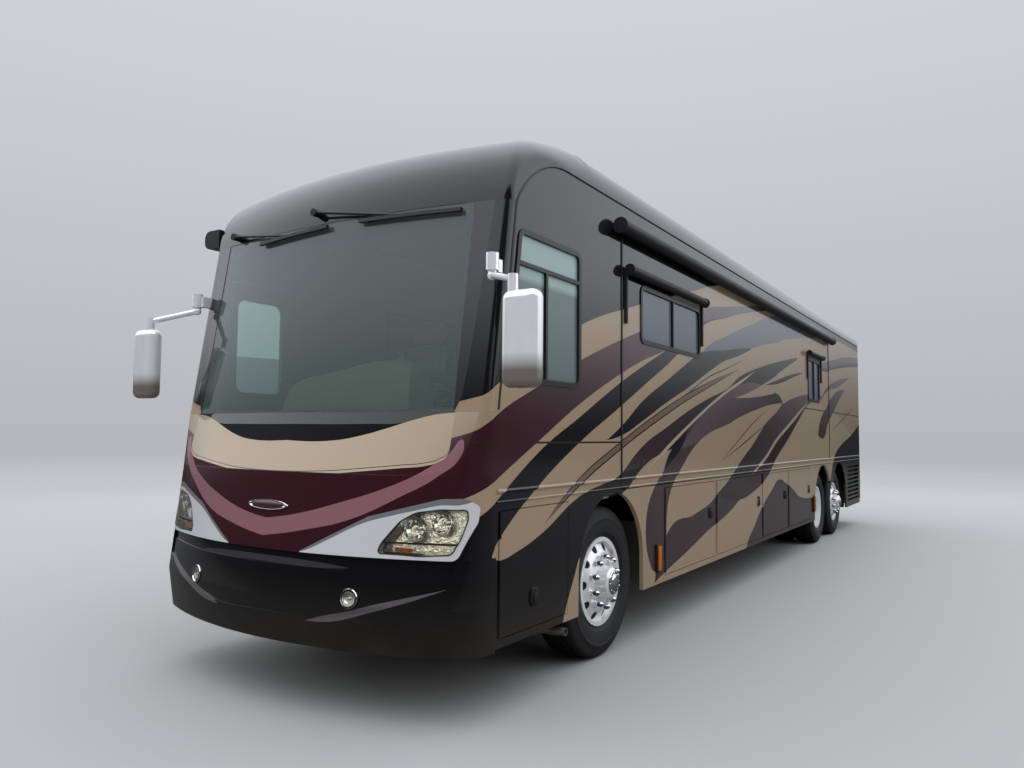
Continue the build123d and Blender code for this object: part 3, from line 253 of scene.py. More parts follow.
sideBands = [
    ("tan", "tan",  # upper sweep from the windshield foot to the roof
     [(-1.9, 1.42), (-1.62, 1.66), (-1.46, 1.8), (-0.47, 2.25), (0.33, 2.48), (1.72, 2.83), (2.2, 2.95), (2.63, 3.02),
      (3.4, 3.06), (4.3, 3.06)],
     upperEdge),
    ("burgundy", "mauve",
     upperEdge,
     [(-1.9, 1.03), (-1.6, 1.21), (-1.0, 1.50), (-0.5, 1.73), (0.09, 1.957), (0.56, 2.11), (0.85, 2.19), (1.97, 2.59),
      (2.6, 2.70), (3.0, 2.79), (3.5, 2.88), (4.3, 3.06)]),
    ("tan", "tan",  # thin front sweep
     [(-1.9, 1.03), (-1.6, 1.21), (-1.0, 1.50), (-0.5, 1.73), (0.09, 1.957), (0.56, 2.11), (0.9, 2.2), (1.97, 2.59)],
     [(-1.9, 0.88), (-1.6, 1.08), (-1.0, 1.435), (-0.5, 1.646), (0.09, 1.895), (0.56, 2.07), (0.9, 2.19),
      (1.97, 2.59)]),
    ("tan", "tan",  # rear field
     [(4.0, 2.0), (4.5, 2.26), (5.0, 2.395), (5.5, 2.52), (5.9, 2.75), (6.4, 2.95), (7.3, 3.04), (10.7, 3.1)],
     [(4.0, 2.0), (4.5, 2.05), (4.8, 1.95), (5.0, 1.60), (5.3, 1.3), (5.66, 0.76), (6.4, 0.70), (7.4, 0.75),
      (8.1, 1.27), (8.5, 1.39), (9.5, 1.57), (10.7, 1.85)]),
    ("tan", "tan",  # main sweep from behind the headlamp to the roof
     [(-1.5, 0.875), (-1.48, 0.915), (-1.43, 0.965), (-1.0, 1.24), (-0.5, 1.484), (0.09, 1.724), (0.56, 1.92),
      (1.0, 2.10), (1.24, 2.21), (1.97, 2.56), (2.6, 2.70), (3.0, 2.79), (3.5, 2.88), (4.2, 3.0), (4.7, 3.06),
      (7.0, 3.06)],
     [(-1.5, 0.875), (-1.48, 0.862), (-1.42, 0.85), (-1.25, 0.876), (-1.0, 0.943), (-0.5, 1.138), *sweepFoot,
      (4.0, 2.34), (4.5, 2.42), (5.0, 2.49), (5.5, 2.56), (7.0, 2.66)]),
    ("slate", "slate",
     [(1.83, 2.28), (2.2, 2.42), (2.6, 2.52), (3.0, 2.63), (3.5, 2.75), (4.0, 2.88), (4.5, 2.98), (5.2, 3.08),
      (7.6, 3.12)],
     [(1.83, 2.28), (2.0, 2.31), (2.6, 2.38), (3.0, 2.435), (3.5, 2.49), (4.0, 2.58), (4.5, 2.65), (5.0, 2.75),
      (5.5, 2.81), (6.0, 2.88), (6.4, 2.92), (7.6, 3.12)]),
    ("black", "black",  # long wedge in the main sweep
     [(-0.11, 1.495), (0.14, 1.60), (0.51, 1.79), (1.0, 1.976), (1.51, 2.17), (1.83, 2.28), (2.0, 2.31), (2.6, 2.38),
      (3.0, 2.435), (3.5, 2.485)],
     [(-0.11, 1.495), (0.14, 1.53), (0.51, 1.64), (1.0, 1.80), (1.51, 1.95), (2.0, 2.11), (2.5, 2.26), (3.0, 2.36),
      (3.5, 2.485)]),
    ("line", "line",
     [(0.14, 1.486), (0.51, 1.601), (1.0, 1.761), (1.51, 1.911), (2.0, 2.071), (2.6, 2.206), (3.3, 2.37)],
     [(0.14, 1.474), (0.51, 1.589), (1.0, 1.749), (1.51, 1.899), (2.0, 2.059), (2.6, 2.194), (3.3, 2.37)]),
    ("umber", "umber",
     [(-0.95, 1.0), (-0.56, 1.226), (0.06, 1.461), (0.9, 1.731), (1.4, 1.87), (1.9, 1.992), (3.0, 2.22)],
     umberFoot),
    thinBand("line", 0.005, [(-0.95, 1.0), (-0.56, 1.227), (0.06, 1.462), (0.9, 1.732), (1.4, 1.871), (1.9, 1.993),
                             (3.0, 2.22)]),
    thinBand("line", 0.006, umberFoot),
    ("charcoal", "black",
     sweepFoot,
     [(0.14, 1.26), (0.87, 1.38), (1.51, 1.62), (2.0, 1.79), (2.6, 1.976), (3.0, 2.08), (3.5, 2.25)]),
    ("tan", "tan",  # tongue behind the front wheel arch
     [(0.0, 0.7), (0.06, 1.02), (0.27, 1.165), (0.51, 1.29), (0.83, 1.38), (1.33, 1.435)],
     [(0.0, 0.7), (0.06, 0.32), (0.7, 0.32), (0.9, 1.2), (1.33, 1.435)]),
    ("tan", "pale",  # lower sweep along the skirt and up to the rear
     [(0.5, 0.32), (0.8, 0.42), (1.51, 0.57), (2.0, 0.68), (2.6, 0.79), (3.0, 0.895), (3.5, 0.95), (4.0, 1.07),
      (4.5, 1.3), (5.0, 1.49), (5.5, 1.7), (6.0, 1.88), (6.4, 2.0), (8.1, 1.9), (9.5, 1.6), (9.6, 1.58)],
     [(0.5, 0.32), (3.1, 0.32), (3.23, 0.42), (3.5, 0.58), (3.8, 0.75), (4.23, 0.92), (4.6, 1.03), (4.9, 0.97),
      (5.2, 0.9), (5.66, 0.76), (6.4, 0.70), (7.4, 0.75), (8.1, 1.27), (8.5, 1.39), (9.6, 1.58)]),
    ("charcoal", "mauve",  # crescent behind the wheel
     [(0.56, 0.80), (0.60, 0.98), (0.70, 1.10), (0.89, 1.23), (1.33, 1.435), (1.51, 1.60), (2.0, 1.775), (2.6, 1.96),
      (3.3, 2.1), (4.0, 2.1)],
     [(0.56, 0.80), (0.62, 0.6), (0.75, 0.49), *crescentFoot, (3.3, 1.9), (4.0, 2.1)]),
    ("tan", "tan",  # middle sweep
     [*crescentFoot, (3.0, 1.73), (3.5, 1.81), (4.0, 1.88), (4.8, 1.95)],
     [(0.9, 0.62), (0.97, 0.73), (1.64, 0.854), (2.0, 0.908), (2.6, 1.10), (3.0, 1.27), (3.5, 1.46), (4.0, 1.68),
      (4.5, 1.83), (4.8, 1.95)]),
    thinBand("pale", 0.015, [(0.6, 1.27), (0.87, 1.38), (1.51, 1.62), (2.0, 1.79), (2.6, 1.975), (3.0, 2.08),
                             (3.6, 2.25)]),
    ("mauve", "black",
     [(1.3, 1.42), (1.7, 1.65), (2.2, 1.84), (2.5, 1.89), (3.5, 1.95), (4.5, 2.0), (4.74, 2.02)],
     [(1.3, 1.42), (1.7, 1.48), (2.2, 1.60), (2.5, 1.65), (3.0, 1.73), (3.5, 1.81), (4.0, 1.88), (4.74, 2.02)]),
    ("tan", "tan",  # streak over the black wedge
     [(2.86, 1.92), (3.5, 2.03), (4.0, 2.14), (4.5, 2.26), (5.0, 2.4), (5.5, 2.52)],
     [(2.86, 1.92), (3.5, 1.955), (4.0, 2.0), (4.5, 2.07), (5.5, 2.45)]),
    ("black", "black",
     [(4.0, 2.12), (4.6, 2.22), (5.2, 2.32), (6.0, 2.41)],
     [(4.0, 2.12), (4.6, 2.17), (5.2, 2.27), (6.0, 2.41)]),
    thinBand("line", 0.006, [(2.34, 1.28), (3.0, 1.509), (3.5, 1.68), (4.1, 1.84)]),
    thinBand("line", 0.006, [(2.34, 1.28), (3.0, 1.43), (3.5, 1.55), (4.2, 1.72)]),
    ("charcoal", "charcoal",
     [(0.8, 0.42), (0.9, 0.62), (0.97, 0.73), (1.64, 0.854), (2.0, 0.908), (2.4, 1.0), (2.9, 0.87)],
     [(0.8, 0.42), (0.87, 0.45), (1.51, 0.57), (2.0, 0.68), (2.6, 0.79), (2.9, 0.87)]),
    ("black", "mauve",
     [(2.2, 0.98), (2.6, 1.10), (3.0, 1.27), (3.5, 1.46), (4.0, 1.68), (4.5, 1.83), (4.8, 1.93), (5.5, 2.05),
      (6.2, 2.12), (7.1, 2.14)],
     [(2.2, 0.98), (2.5, 0.96), (3.2, 1.08), (3.7, 1.205), (4.0, 1.3), (4.5, 1.50), (5.0, 1.65), (5.5, 1.80),
      (6.0, 1.935), (7.1, 2.14)]),
    ("wine", "burgundy",
     [(2.4, 0.95), (3.2, 1.07), (3.7, 1.205), (4.0, 1.3), (4.5, 1.50), (5.0, 1.65), (5.5, 1.80), (6.0, 1.935)],
     [(2.4, 0.95), (3.0, 0.895), (3.5, 0.95), (4.0, 1.07), (4.5, 1.3), (5.0, 1.49), (5.5, 1.7), (6.0, 1.92)]),
    ("pale", "pale",
     [(3.4, 1.13), (3.7, 1.23), (4.0, 1.325), (4.5, 1.525), (5.0, 1.675), (5.5, 1.825), (6.2, 2.02)],
     [(3.4, 1.13), (3.7, 1.19), (4.0, 1.28), (4.5, 1.478), (5.0, 1.628), (5.5, 1.778), (6.2, 2.02)]),
    ("charcoal", "charcoal",  # lower rear skirt
     [(3.2, 0.32), (3.23, 0.42), (3.5, 0.58), (3.8, 0.75), (4.23, 0.9), (4.6, 1.0), (4.9, 0.95), (5.2, 0.88),
      (5.66, 0.76), (6.5, 0.70), (8.0, 0.6)],
     [(3.2, 0.32), (8.0, 0.32)]),
    ("mauve", "mauve",  # rear upper streak with its black foot
     [(6.9, 2.59), (7.3, 2.66), (8.0, 2.75), (9.0, 2.88), (10.3, 2.99), (10.7, 3.02)],
     [(6.9, 2.59), (7.3, 2.52), (8.0, 2.6), (9.0, 2.71), (10.3, 2.82), (10.7, 2.86)]),
    ("black", "black",
     [(6.9, 2.59), (7.3, 2.565), (8.0, 2.645), (9.0, 2.765), (10.7, 2.91)],
     [(6.9, 2.59), (7.3, 2.52), (8.0, 2.6), (9.0, 2.71), (10.7, 2.86)]),
    ("mauve", "mauve",
     [(6.6, 2.06), (7.05, 2.12), (7.5, 2.28), (8.5, 2.47), (9.55, 2.57)],
     [(6.6, 2.06), (7.05, 2.08), (7.5, 2.22), (8.5, 2.36), (9.0, 2.46), (9.55, 2.57)]),
    ("charcoal", "mauve",  # rear lens
     [(6.83, 1.57), (7.0, 1.77), (7.5, 2.0), (7.8, 2.13), (8.5, 2.3), (9.02, 2.33)],
     [(6.83, 1.57), (7.0, 1.53), (7.3, 1.55), (7.55, 1.74), (8.0, 1.93), (8.5, 2.14), (9.02, 2.33)]),
    thinBand("line", 0.008, [(7.8, 1.64), (9.0, 1.88), (10.05, 2.14)]),
    ("tan", "tan",  # small tail ahead of the front arch
     [(-0.73, 0.36), (-0.67, 0.485), (-0.58, 0.63), (-0.5, 0.75), (-0.44, 0.74), (-0.36, 0.5)],
     [(-0.73, 0.36), (-0.6, 0.32), (-0.44, 0.34), (-0.36, 0.5)]),
]
# On the front an edge's points are distance from the middle and height
noseBands = [
    ("burgundy", "burgundy",  # the corners beside the hood and lamps keep the side's sweeps
     [(0.0, 1.9), (1.02, 1.9), (1.06, 1.38), (1.14, 1.43), (1.19, 1.47), (1.21, 1.3)],
     [(0.0, 0.32), (1.12, 0.32), (1.16, 1.12), (1.21, 1.3)]),
    ("rose", "rose",
     [(0.0, 1.036), (0.26, 1.077), (0.55, 1.155), (0.75, 1.22), (0.96, 1.316), (1.1, 1.42), (1.17, 1.49),
      (1.178, 1.45)],
     [(0.0, 0.938), (0.3, 0.987), (0.6, 1.06), (0.87, 1.188), (1.07, 1.308), (1.17, 1.415), (1.178, 1.45)]),
]
lipEdge = [(0.0, 1.285), (0.4, 1.297), (0.64, 1.318), (0.84, 1.338), (0.99, 1.355), (1.05, 1.375), (1.095, 1.42),
           (1.11, 1.6)]
lipFoot = [(0.0, 1.1), (1.11, 1.1)]
hoodBands = [
    ("black", "black",  # cowl under the windshield
     [(0.0, 1.9), (1.2, 1.9)],
     [(0.0, 1.479), (0.38, 1.483), (0.56, 1.515), (0.7, 1.553), (0.85, 1.598), (1.0, 1.632), (1.2, 1.64)]),
    ("burgundy", "burgundy", lipEdge, lipFoot),  # nose colour under the hood's swept lip
    noseBands[1],
    # pale band along the hood's lip: a painted highlight where the lip catches light
    ("pale", "pale", raised(lipEdge, 0.014), lipEdge),
    ("line", "line", raised(lipEdge, 0.019), raised(lipEdge, 0.014)),
]
cowlMask = [
    ("mask", "mask",
     [(0.0, 1.576), (0.55, 1.577), (0.8, 1.585), (0.84, 1.595)],
     [(0.0, 1.479), (0.38, 1.483), (0.56, 1.515), (0.7, 1.553), (0.84, 1.595)]),
    ("mask", "mask", lipEdge, lipFoot),
]
bumperBands = [
    ("creaseHighlight", "creaseHighlight",  # painted highlight on the swept crease
     [(0.371, 0.511), (0.48, 0.545), (0.612, 0.576), (0.795, 0.632), (0.968, 0.677), (1.161, 0.728)],
     [(0.371, 0.511), (0.48, 0.514), (0.567, 0.527), (0.794, 0.597), (0.971, 0.655), (1.161, 0.728)]),
    # painted highlight on the ledge of the upper groove
    ("groove", "groove",
     [(0.0, 0.83), (0.18, 0.829), (0.358, 0.824), (0.52, 0.814), (0.62, 0.803)],
     [(0.0, 0.796), (0.18, 0.794), (0.363, 0.793), (0.52, 0.796), (0.62, 0.803)]),
]
bezelBands = [
    # upper part of the lamp surround painted darker: painted shade
    ("bezelShade", "bezelShade",
     [(0.3, 1.3), (1.27, 1.3)],
     [(0.3, 0.872), (0.36, 0.89), (0.476, 0.945), (0.68, 1.043), (0.842, 1.09), (0.95, 1.117), (1.089, 1.15),
      (1.2, 1.157), (1.27, 1.19)]),
]
pillarBands = [
    # dark glass edge beside the windshield, with a painted reflection that lightens it
    ("glassEdgeAndSheen", "glassEdgeAndSheen",
     [(1.0, 2.95), (1.21, 2.95)],
     [(1.0, 1.7), (1.12, 1.72), (1.13, 1.78), (1.2, 2.85), (1.21, 2.95)]),
]
paintData = {
    "low": 0.3, "span": 3.3,  # heights that the edge curves cover
    "flakeMm": 4.0, "flakeShare": 0.07,  # flake is finer, drawn coarser to show
    "peelMm": 30.0, "dirtMm": 350.0,
    "film": "#8d8070", "filmFoot": 0.38, "filmTop": 0.75, "filmShare": 0.12,  # road film low down
    "lining": "#8f8b84", "liningFace": 1.2415,  # the walls' inner face is vinyl
}


def edgeCurve(tree, along, points, reach):
    # height of a band's edge along the coach, from a few points joined smoothly
    node = addNode(tree, "FloatCurve", in1=along)
    curve = node.mapping.curves[0]
    low, span = paintData["low"], paintData["span"]
    spots = [((a - reach[0]) / (reach[1] - reach[0]), (z - low) / span) for a, z in points]
    curve.points[0].location = spots[0]
    curve.points[1].location = spots[-1]
    for spot in spots[1:-1]:
        curve.points.new(*spot)
    node.mapping.update()
    return node.outputs[0]


def paintBands(tree, along, height, bands, layer):
    # painter's order: each band covers what lies under it
    for front, rear, top, bottom in bands:
        reach = (top[0][0], top[-1][0])
        part = addNode(tree, "MapRange", in0=along, in1=reach[0], in2=reach[1]).outputs[0]
        upper = edgeCurve(tree, part, top, reach)
        lower = edgeCurve(tree, part, bottom, reach)
        under = addNode(tree, "Math", {"operation": "GREATER_THAN"}, in0=upper, in1=height).outputs[0]
        over = addNode(tree, "Math", {"operation": "GREATER_THAN"}, in0=height, in1=lower).outputs[0]
        inside = addNode(tree, "Math", {"operation": "MULTIPLY"}, in0=under, in1=over).outputs[0]
        ink = linear(colours[front])
        if front != rear:
            ink = addNode(tree, "Mix", colourMix, in0=part, in6=ink, in7=linear(colours[rear])).outputs[2]
        layer = addNode(tree, "Mix", colourMix, in0=inside, in6=layer, in7=ink).outputs[2]
    return layer


def coachPaint(name, base, bands, frontBands=(), lined=False, dull=()):
    # clear-coated metallic paint: deep gloss, faint flake sparkle and orange peel, road film low down
    material, tree, shader, place = newMaterial(name)
    low, span = paintData["low"], paintData["span"]
    axes = addNode(tree, "SeparateXYZ", in0=place)
    height = addNode(tree, "Math", {"operation": "MULTIPLY_ADD"}, in0=axes.outputs[2], in1=1 / span,
                     in2=-low / span).outputs[0]
    side = addNode(tree, "Math", {"operation": "ABSOLUTE"}, in0=axes.outputs[0]).outputs[0]
    along = addNode(tree, "Math", {"operation": "SUBTRACT"}, in0=axes.outputs[1], in1=axleY).outputs[0]
    colour = paintBands(tree, along, height, bands, linear(colours[base]))
    colour = paintBands(tree, side, height, frontBands, colour)
    flake = addNode(tree, "TexNoise", in2=1000 / paintData["flakeMm"], in3=2.0, in0=place)
    spread = addNode(tree, "MapRange", in0=flake.outputs[0], in1=0.3, in2=0.7, in3=1 - paintData["flakeShare"],
                     in4=1 + paintData["flakeShare"]).outputs[0]
    colour = addNode(tree, "Mix", colourTimes, in0=1.0, in6=colour,
                     in7=spread).outputs[2]
    dirt = addNode(tree, "TexNoise", in2=1000 / paintData["dirtMm"], in3=5.0, in0=place)
    foot = addNode(tree, "MapRange", in0=axes.outputs[2], in1=paintData["filmFoot"], in2=paintData["filmTop"],
                   in3=paintData["filmShare"], in4=0.0).outputs[0]
    film = addNode(tree, "Math", {"operation": "MULTIPLY"}, in0=foot, in1=dirt.outputs[0]).outputs[0]
    colour = addNode(tree, "Mix", colourMix, in0=film, in6=colour, in7=linear(paintData["film"])).outputs[2]
    if lined:
        inner = addNode(tree, "Math", {"operation": "LESS_THAN"}, in0=side, in1=paintData["liningFace"]).outputs[0]
        colour = addNode(tree, "Mix", colourMix, in0=inner, in6=colour,
                         in7=linear(paintData["lining"])).outputs[2]
    peel = addNode(tree, "TexNoise", in2=1000 / paintData["peelMm"], in3=1.0, in0=place)
    bump = addNode(tree, "Bump", Strength=0.05, Distance=0.001, Height=peel.outputs[0])
    setSockets(tree, shader, Base_Color=colour, Roughness=0.5, Specular_IOR_Level=0.05, Coat_Weight=1.0,
               Coat_Roughness=0.02, Coat_Normal=bump.outputs[0])
    if dull:
        matt = paintBands(tree, side, height, dull, linear("#000000"))
        coat = addNode(tree, "Math", {"operation": "SUBTRACT"}, in0=1.0, in1=matt).outputs[0]
        setSockets(tree, shader, Coat_Weight=coat)
    return material


paints = {
    "side": coachPaint("swept coach paint", "black", sideBands),
    "wall": coachPaint("swept coach paint with vinyl lining", "black", sideBands, lined=True),
    "nose": coachPaint("burgundy nose paint", "black", sideBands, noseBands),
    "hood": coachPaint("tan hood paint", "litHoodTan", [], hoodBands, dull=cowlMask),
    "bumper": coachPaint("black bumper paint", "black", [], bumperBands),
    "pillar": coachPaint("pillar paint", "black", sideBands, pillarBands),
    "bezel": coachPaint("silver lamp surround paint", "silver", [], bezelBands),
}
print("coach paint")


def mottled(name, colour, variation, sizeMm, roughness, metallic=0.0, bumpMm=0.0, paintedReflectionFoot=None, **sockets):
    # a plain finish with its own small colour variation, roughness drift and bump at a real size; where given, a foot
    # colour low down is a painted reflection of the ground
    material, tree, shader, place = newMaterial(name)
    grain = addNode(tree, "TexNoise", in2=1000 / sizeMm, in3=4.0, in0=place).outputs[0]
    shade = addNode(tree, "MapRange", in0=grain, in1=0.25, in2=0.75, in3=1 - variation, in4=1 + variation).outputs[0]
    tint = addNode(tree, "Mix", colourTimes, in0=1.0, in6=linear(colour),
                   in7=shade).outputs[2]
    # painted reflection: towards the bottom the colour turns to the ground's
    if paintedReflectionFoot:
        height = addNode(tree, "SeparateXYZ", in0=place).outputs[2]
        share = addNode(tree, "MapRange", in0=height, in1=paintedReflectionFoot["from"], in2=paintedReflectionFoot["to"], in3=1.0, in4=0.0)
        tint = addNode(tree, "Mix", colourMix, in0=share.outputs[0], in6=tint,
                       in7=linear(paintedReflectionFoot["colour"])).outputs[2]
    rough = addNode(tree, "MapRange", in0=grain, in1=0.25, in2=0.75, in3=roughness * 0.85, in4=roughness * 1.15)
    setSockets(tree, shader, Base_Color=tint, Roughness=rough.outputs[0], Metallic=metallic, **sockets)
    if bumpMm:
        bump = addNode(tree, "Bump", Strength=0.6, Distance=bumpMm / 1000, Height=grain)
        setSockets(tree, shader, Normal=bump.outputs[0])
    return material


# painted reflection: low down the mirrors' bright plate shows dull ground, as outdoors
mirrorGroundReflection = {"from": 1.84, "to": 1.93, "colour": "#857d78"}
finishes = {
    # name, colour, variation, grain size mm, roughness, metallic, bump mm
    # dull black with a fine moulded grain
    "rubber": mottled("tyre rubber, moulded", "#1b1b1c", 0.25, 9.0, 0.72, bumpMm=0.3),
    # satin bright, blurred highlights
    "alloy": mottled("polished aluminium, machined", "#f6f6f6", 0.02, 5.0, 0.25, 0.36),
    # sharp mirror with dark and light edges
    "chrome": mottled("bright chrome plate", "#e3e5e8", 0.03, 60.0, 0.05, 1.0),
    # white-bright plate: the near-white colour is a painted reflection of bright sky on the chrome, with clear edges
    # of light
    "mirrorShell": mottled("mirror shell chrome with painted sky reflection", "#fafbfd", 0.02, 60.0, 0.07, 0.3, paintedReflectionFoot=mirrorGroundReflection,
                           Coat_Weight=1.0, Coat_Roughness=0.03),
    # rough, near black, lost in shadow
    "iron": mottled("cast iron brake drum", "#121110", 0.3, 12.0, 0.8, bumpMm=0.3),
    # black with patchy low gloss
    "steel": mottled("black chassis enamel", "#161617", 0.3, 60.0, 0.55, bumpMm=0.2),
    # even mid grey, slight sheen
    "engine": mottled("grey engine enamel", "#4b4d4e", 0.2, 50.0, 0.5),
    # flat, mottled brown grey
    "board": mottled("grey floor board", "#5b554c", 0.2, 30.0, 0.7),
    # smooth satin black
    "frame": mottled("black anodised window frame", "#141415", 0.15, 4.0, 0.35),
    # black with a fine leathery grain
    "plastic": mottled("black moulded ABS", "#151516", 0.15, 2.5, 0.5, bumpMm=0.15),
    # soft pale skin
    "lining": mottled("pale wall vinyl", "#8f8b84", 0.06, 3.0, 0.6, bumpMm=0.15),
    # white with a pebbled skin
    "unit": mottled("white roof unit ABS", "#d8d7d2", 0.04, 8.0, 0.5, bumpMm=0.15),
    # warm pale, grained, no glare
    "dash": mottled("pale stone dash vinyl", "#b7ab96", 0.08, 3.0, 0.6, bumpMm=0.2),
    # black, slightly creased skin
    "cloth": mottled("black awning vinyl", "#1d1d1f", 0.2, 6.0, 0.6, bumpMm=0.2),
    # plain black edge with a soft highlight
    "trim": mottled("black extruded vinyl bead", "#1a1a1c", 0.2, 8.0, 0.45),
    # broken bright facets
    "reflector": mottled("vacuum-metallised reflector", "#eceef0", 0.04, 12.0, 0.06, 1.0),
    # rippled bright foil behind the lens
    "bucket": mottled("faceted metallised lamp bucket", "#d6d5cc", 0.3, 16.0, 0.12, 1.0, 6.0),
    # warm bright tube with heat tint
    "pipe": mottled("stainless exhaust pipe", "#a79d92", 0.06, 10.0, 0.24, 0.8),
    # clean mirror
    "mirrorGlass": mottled("silvered mirror glass", "#dfe4e6", 0.02, 90.0, 0.02, 1.0),
    # deep red under a clear skin
    "badge": mottled("burgundy badge enamel", "#4a2026", 0.08, 6.0, 0.3, 0.3, Coat_Weight=1.0, Coat_Roughness=0.03),
    # dark and matt behind the glass
    "shade": mottled("dark shade cloth", "#242325", 0.1, 20.0, 0.95),
    # ivory with a fine grain and soft sheen
    "leather": mottled("ivory seat leather", "#8f8672", 0.1, 5.0, 0.5, bumpMm=0.3),
}
paneData = {"cabEnd": -0.35, "railFoot": 2.4, "railTop": 2.44, "lowerShare": 0.42, "dustMm": 250.0}


def glass(name, colour, see, roughness=0.0, rearColour=None):
    # float glass: sharp reflections and a faint film of dust; a rear colour darkens it behind the cab
    material, tree, shader, place = newMaterial(name)
    tint, through = linear(colour), see
    if rearColour:
        axes = addNode(tree, "SeparateXYZ", in0=place)
        cab = addNode(tree, "Math", {"operation": "LESS_THAN"}, in0=axes.outputs[1],
                      in1=axleY + paneData["cabEnd"]).outputs[0]
        tint = addNode(tree, "Mix", colourMix, in0=cab, in6=linear(rearColour), in7=tint).outputs[2]
        through = addNode(tree, "Math", {"operation": "MULTIPLY"}, in0=cab, in1=see).outputs[0]
        deep = addNode(tree, "MapRange", in0=axes.outputs[2], in1=paneData["railFoot"], in2=paneData["railTop"],
                       in3=paneData["lowerShare"], in4=1.0).outputs[0]
        tint = addNode(tree, "Mix", colourTimes, in0=1.0, in6=tint,
                       in7=deep).outputs[2]
    dust = addNode(tree, "TexNoise", in2=1000 / paneData["dustMm"], in3=5.0, in0=place).outputs[0]
    rough = addNode(tree, "MapRange", in0=dust, in1=0.4, in2=0.8, in3=roughness, in4=roughness + 0.03).outputs[0]
    setSockets(tree, shader, Base_Color=tint, Roughness=rough, Transmission_Weight=through, IOR=1.45)
    return material


finishes.update({
    # name, colour, share seen through, roughness, colour behind the cab
    # clear and faintly green, the cab shows through
    "windshieldGlass": glass("laminated green-tint glass", "#b4c8c4", 0.9),
    # dark mirror, nothing behind it shows
    "darkGlass": glass("privacy glass", "#56616b", 0.0, 0.012),
    # light tint, the step well shows through
    "cabGlass": glass("light-tint cab glass", "#93a8a2", 0.95),
    # pale in the cab, a dark mirror behind it
    "sideGlass": glass("side glass, light in the cab and dark behind", "#b6d0cb", 0.4, 0.0, "#56616b"),
    # clear, with sharp highlights
    "lens": glass("clear polycarbonate lens", "#f3f1e6", 1.0),
    # deep red, half clear
    "redLens": glass("red acrylic lens", "#a30d0d", 0.35, 0.04),
    # warm amber, half clear
    "amberLens": glass("amber acrylic lens", "#e07a12", 0.35, 0.04),
})

finishes.update(paints)
nodeFinish = {
    "front_cap": "side", "windshield_pillars": "pillar", "hood": "hood", "nose_panel": "nose",
    "front_bumper": "bumper", "rear_cap": "side", "engine_door": "side", "skirts": "side", "roof": "side",
    "left_wall": "wall", "right_wall": "wall", "slide_room": "wall", "entry_door": "wall",
    "left_service_door": "side", "headlamp_bezels": "bezel", "front_lamps": "lens", "rear_lamps": "redLens",
    "windshield": "windshieldGlass", "window_glass": "sideGlass", "slide_glass": "darkGlass",
    "entry_door_glass": "cabGlass", "slide_box": "lining", "window_frames": "frame",
    "slide_window_frames": "frame", "wipers": "plastic", "mirrors": "mirrorShell", "slide_awnings": "cloth",
    "patio_awning": "frame", "roof_air_units": "unit", "dashboard": "dash", "cab_seats": "leather",
    "steering_wheel": "plastic", "chassis_frame": "steel", "axles": "steel", "knuckle_left": "steel",
    "knuckle_right": "steel", "hitch_receiver": "steel", "basement": "board", "coach_floor": "board",
    "engine": "engine",
}
repeatFinish = {"_bay_door_": "side", "_tyre_": "rubber", "_rim_": "alloy"}  # nodes that come several times
for name, piece in nodes.items():
    repeats = [finish for part, finish in repeatFinish.items() if part in name]
    finish = repeats[0] if repeats else nodeFinish[name]
    piece.data.materials.clear()
    piece.data.materials.append(finishes[finish])
print("finishes on", len(nodes), "nodes")


# New pieces are made in place by mesh operators and ride on the bodies that carry them
def addPiece(name, mesh, body, finish, sharp=35):
    bmesh.ops.recalc_face_normals(mesh, faces=mesh.faces[:])
    data = bpy.data.meshes.new(name)
    mesh.to_mesh(data)
    mesh.free()
    data.shade_smooth()
    data.set_sharp_from_angle(angle=math.radians(sharp))
    data.materials.append(finishes[finish])
    piece = bpy.data.objects.new(name, data)
    bpy.context.collection.objects.link(piece)
    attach(piece, body)
    return piece


def joinInto(mesh, other):
    carrier = bpy.data.meshes.new("carrier")
    other.to_mesh(carrier)
    other.free()
    mesh.from_mesh(carrier)
    bpy.data.meshes.remove(carrier)


def turned(mesh, section, spot, axis, steps):
    # turned form: section of (along the axis, radius) spun about the axis through spot
    part = bmesh.new()
    axis = Vector(axis).normalized()
    across = axis.orthogonal().normalized()
    line = [part.verts.new(Vector(spot) + axis * a + across * r) for a, r in section]
    edges = [part.edges.new(pair) for pair in zip(line, line[1:])]
    bmesh.ops.spin(part, geom=line + edges, cent=spot, axis=axis, angle=math.tau, steps=steps, use_merge=True)
    bmesh.ops.remove_doubles(part, verts=part.verts[:], dist=0.00002)
    joinInto(mesh, part)


def roundedBlock(mesh, centre, size, corner, edge, along):
    # block with its corners rounded about one axis (0 x, 1 y, 2 z) and the other edges eased
    part = bmesh.new()
    bmesh.ops.create_cube(part, size=1.0)
    bmesh.ops.scale(part, vec=size, verts=part.verts[:])
    uprights = [e for e in part.edges if abs((e.verts[0].co - e.verts[1].co)[along]) > 1e-6]
    bmesh.ops.bevel(part, geom=uprights, offset=corner, segments=5, profile=0.5, affect="EDGES", material=-1)
    rims = [e for e in part.edges if e.calc_face_angle(0.0) > 1.0]
    bmesh.ops.bevel(part, geom=rims, offset=edge, segments=2, profile=0.5, affect="EDGES", material=-1)
    bmesh.ops.translate(part, vec=centre, verts=part.verts[:])
    joinInto(mesh, part)


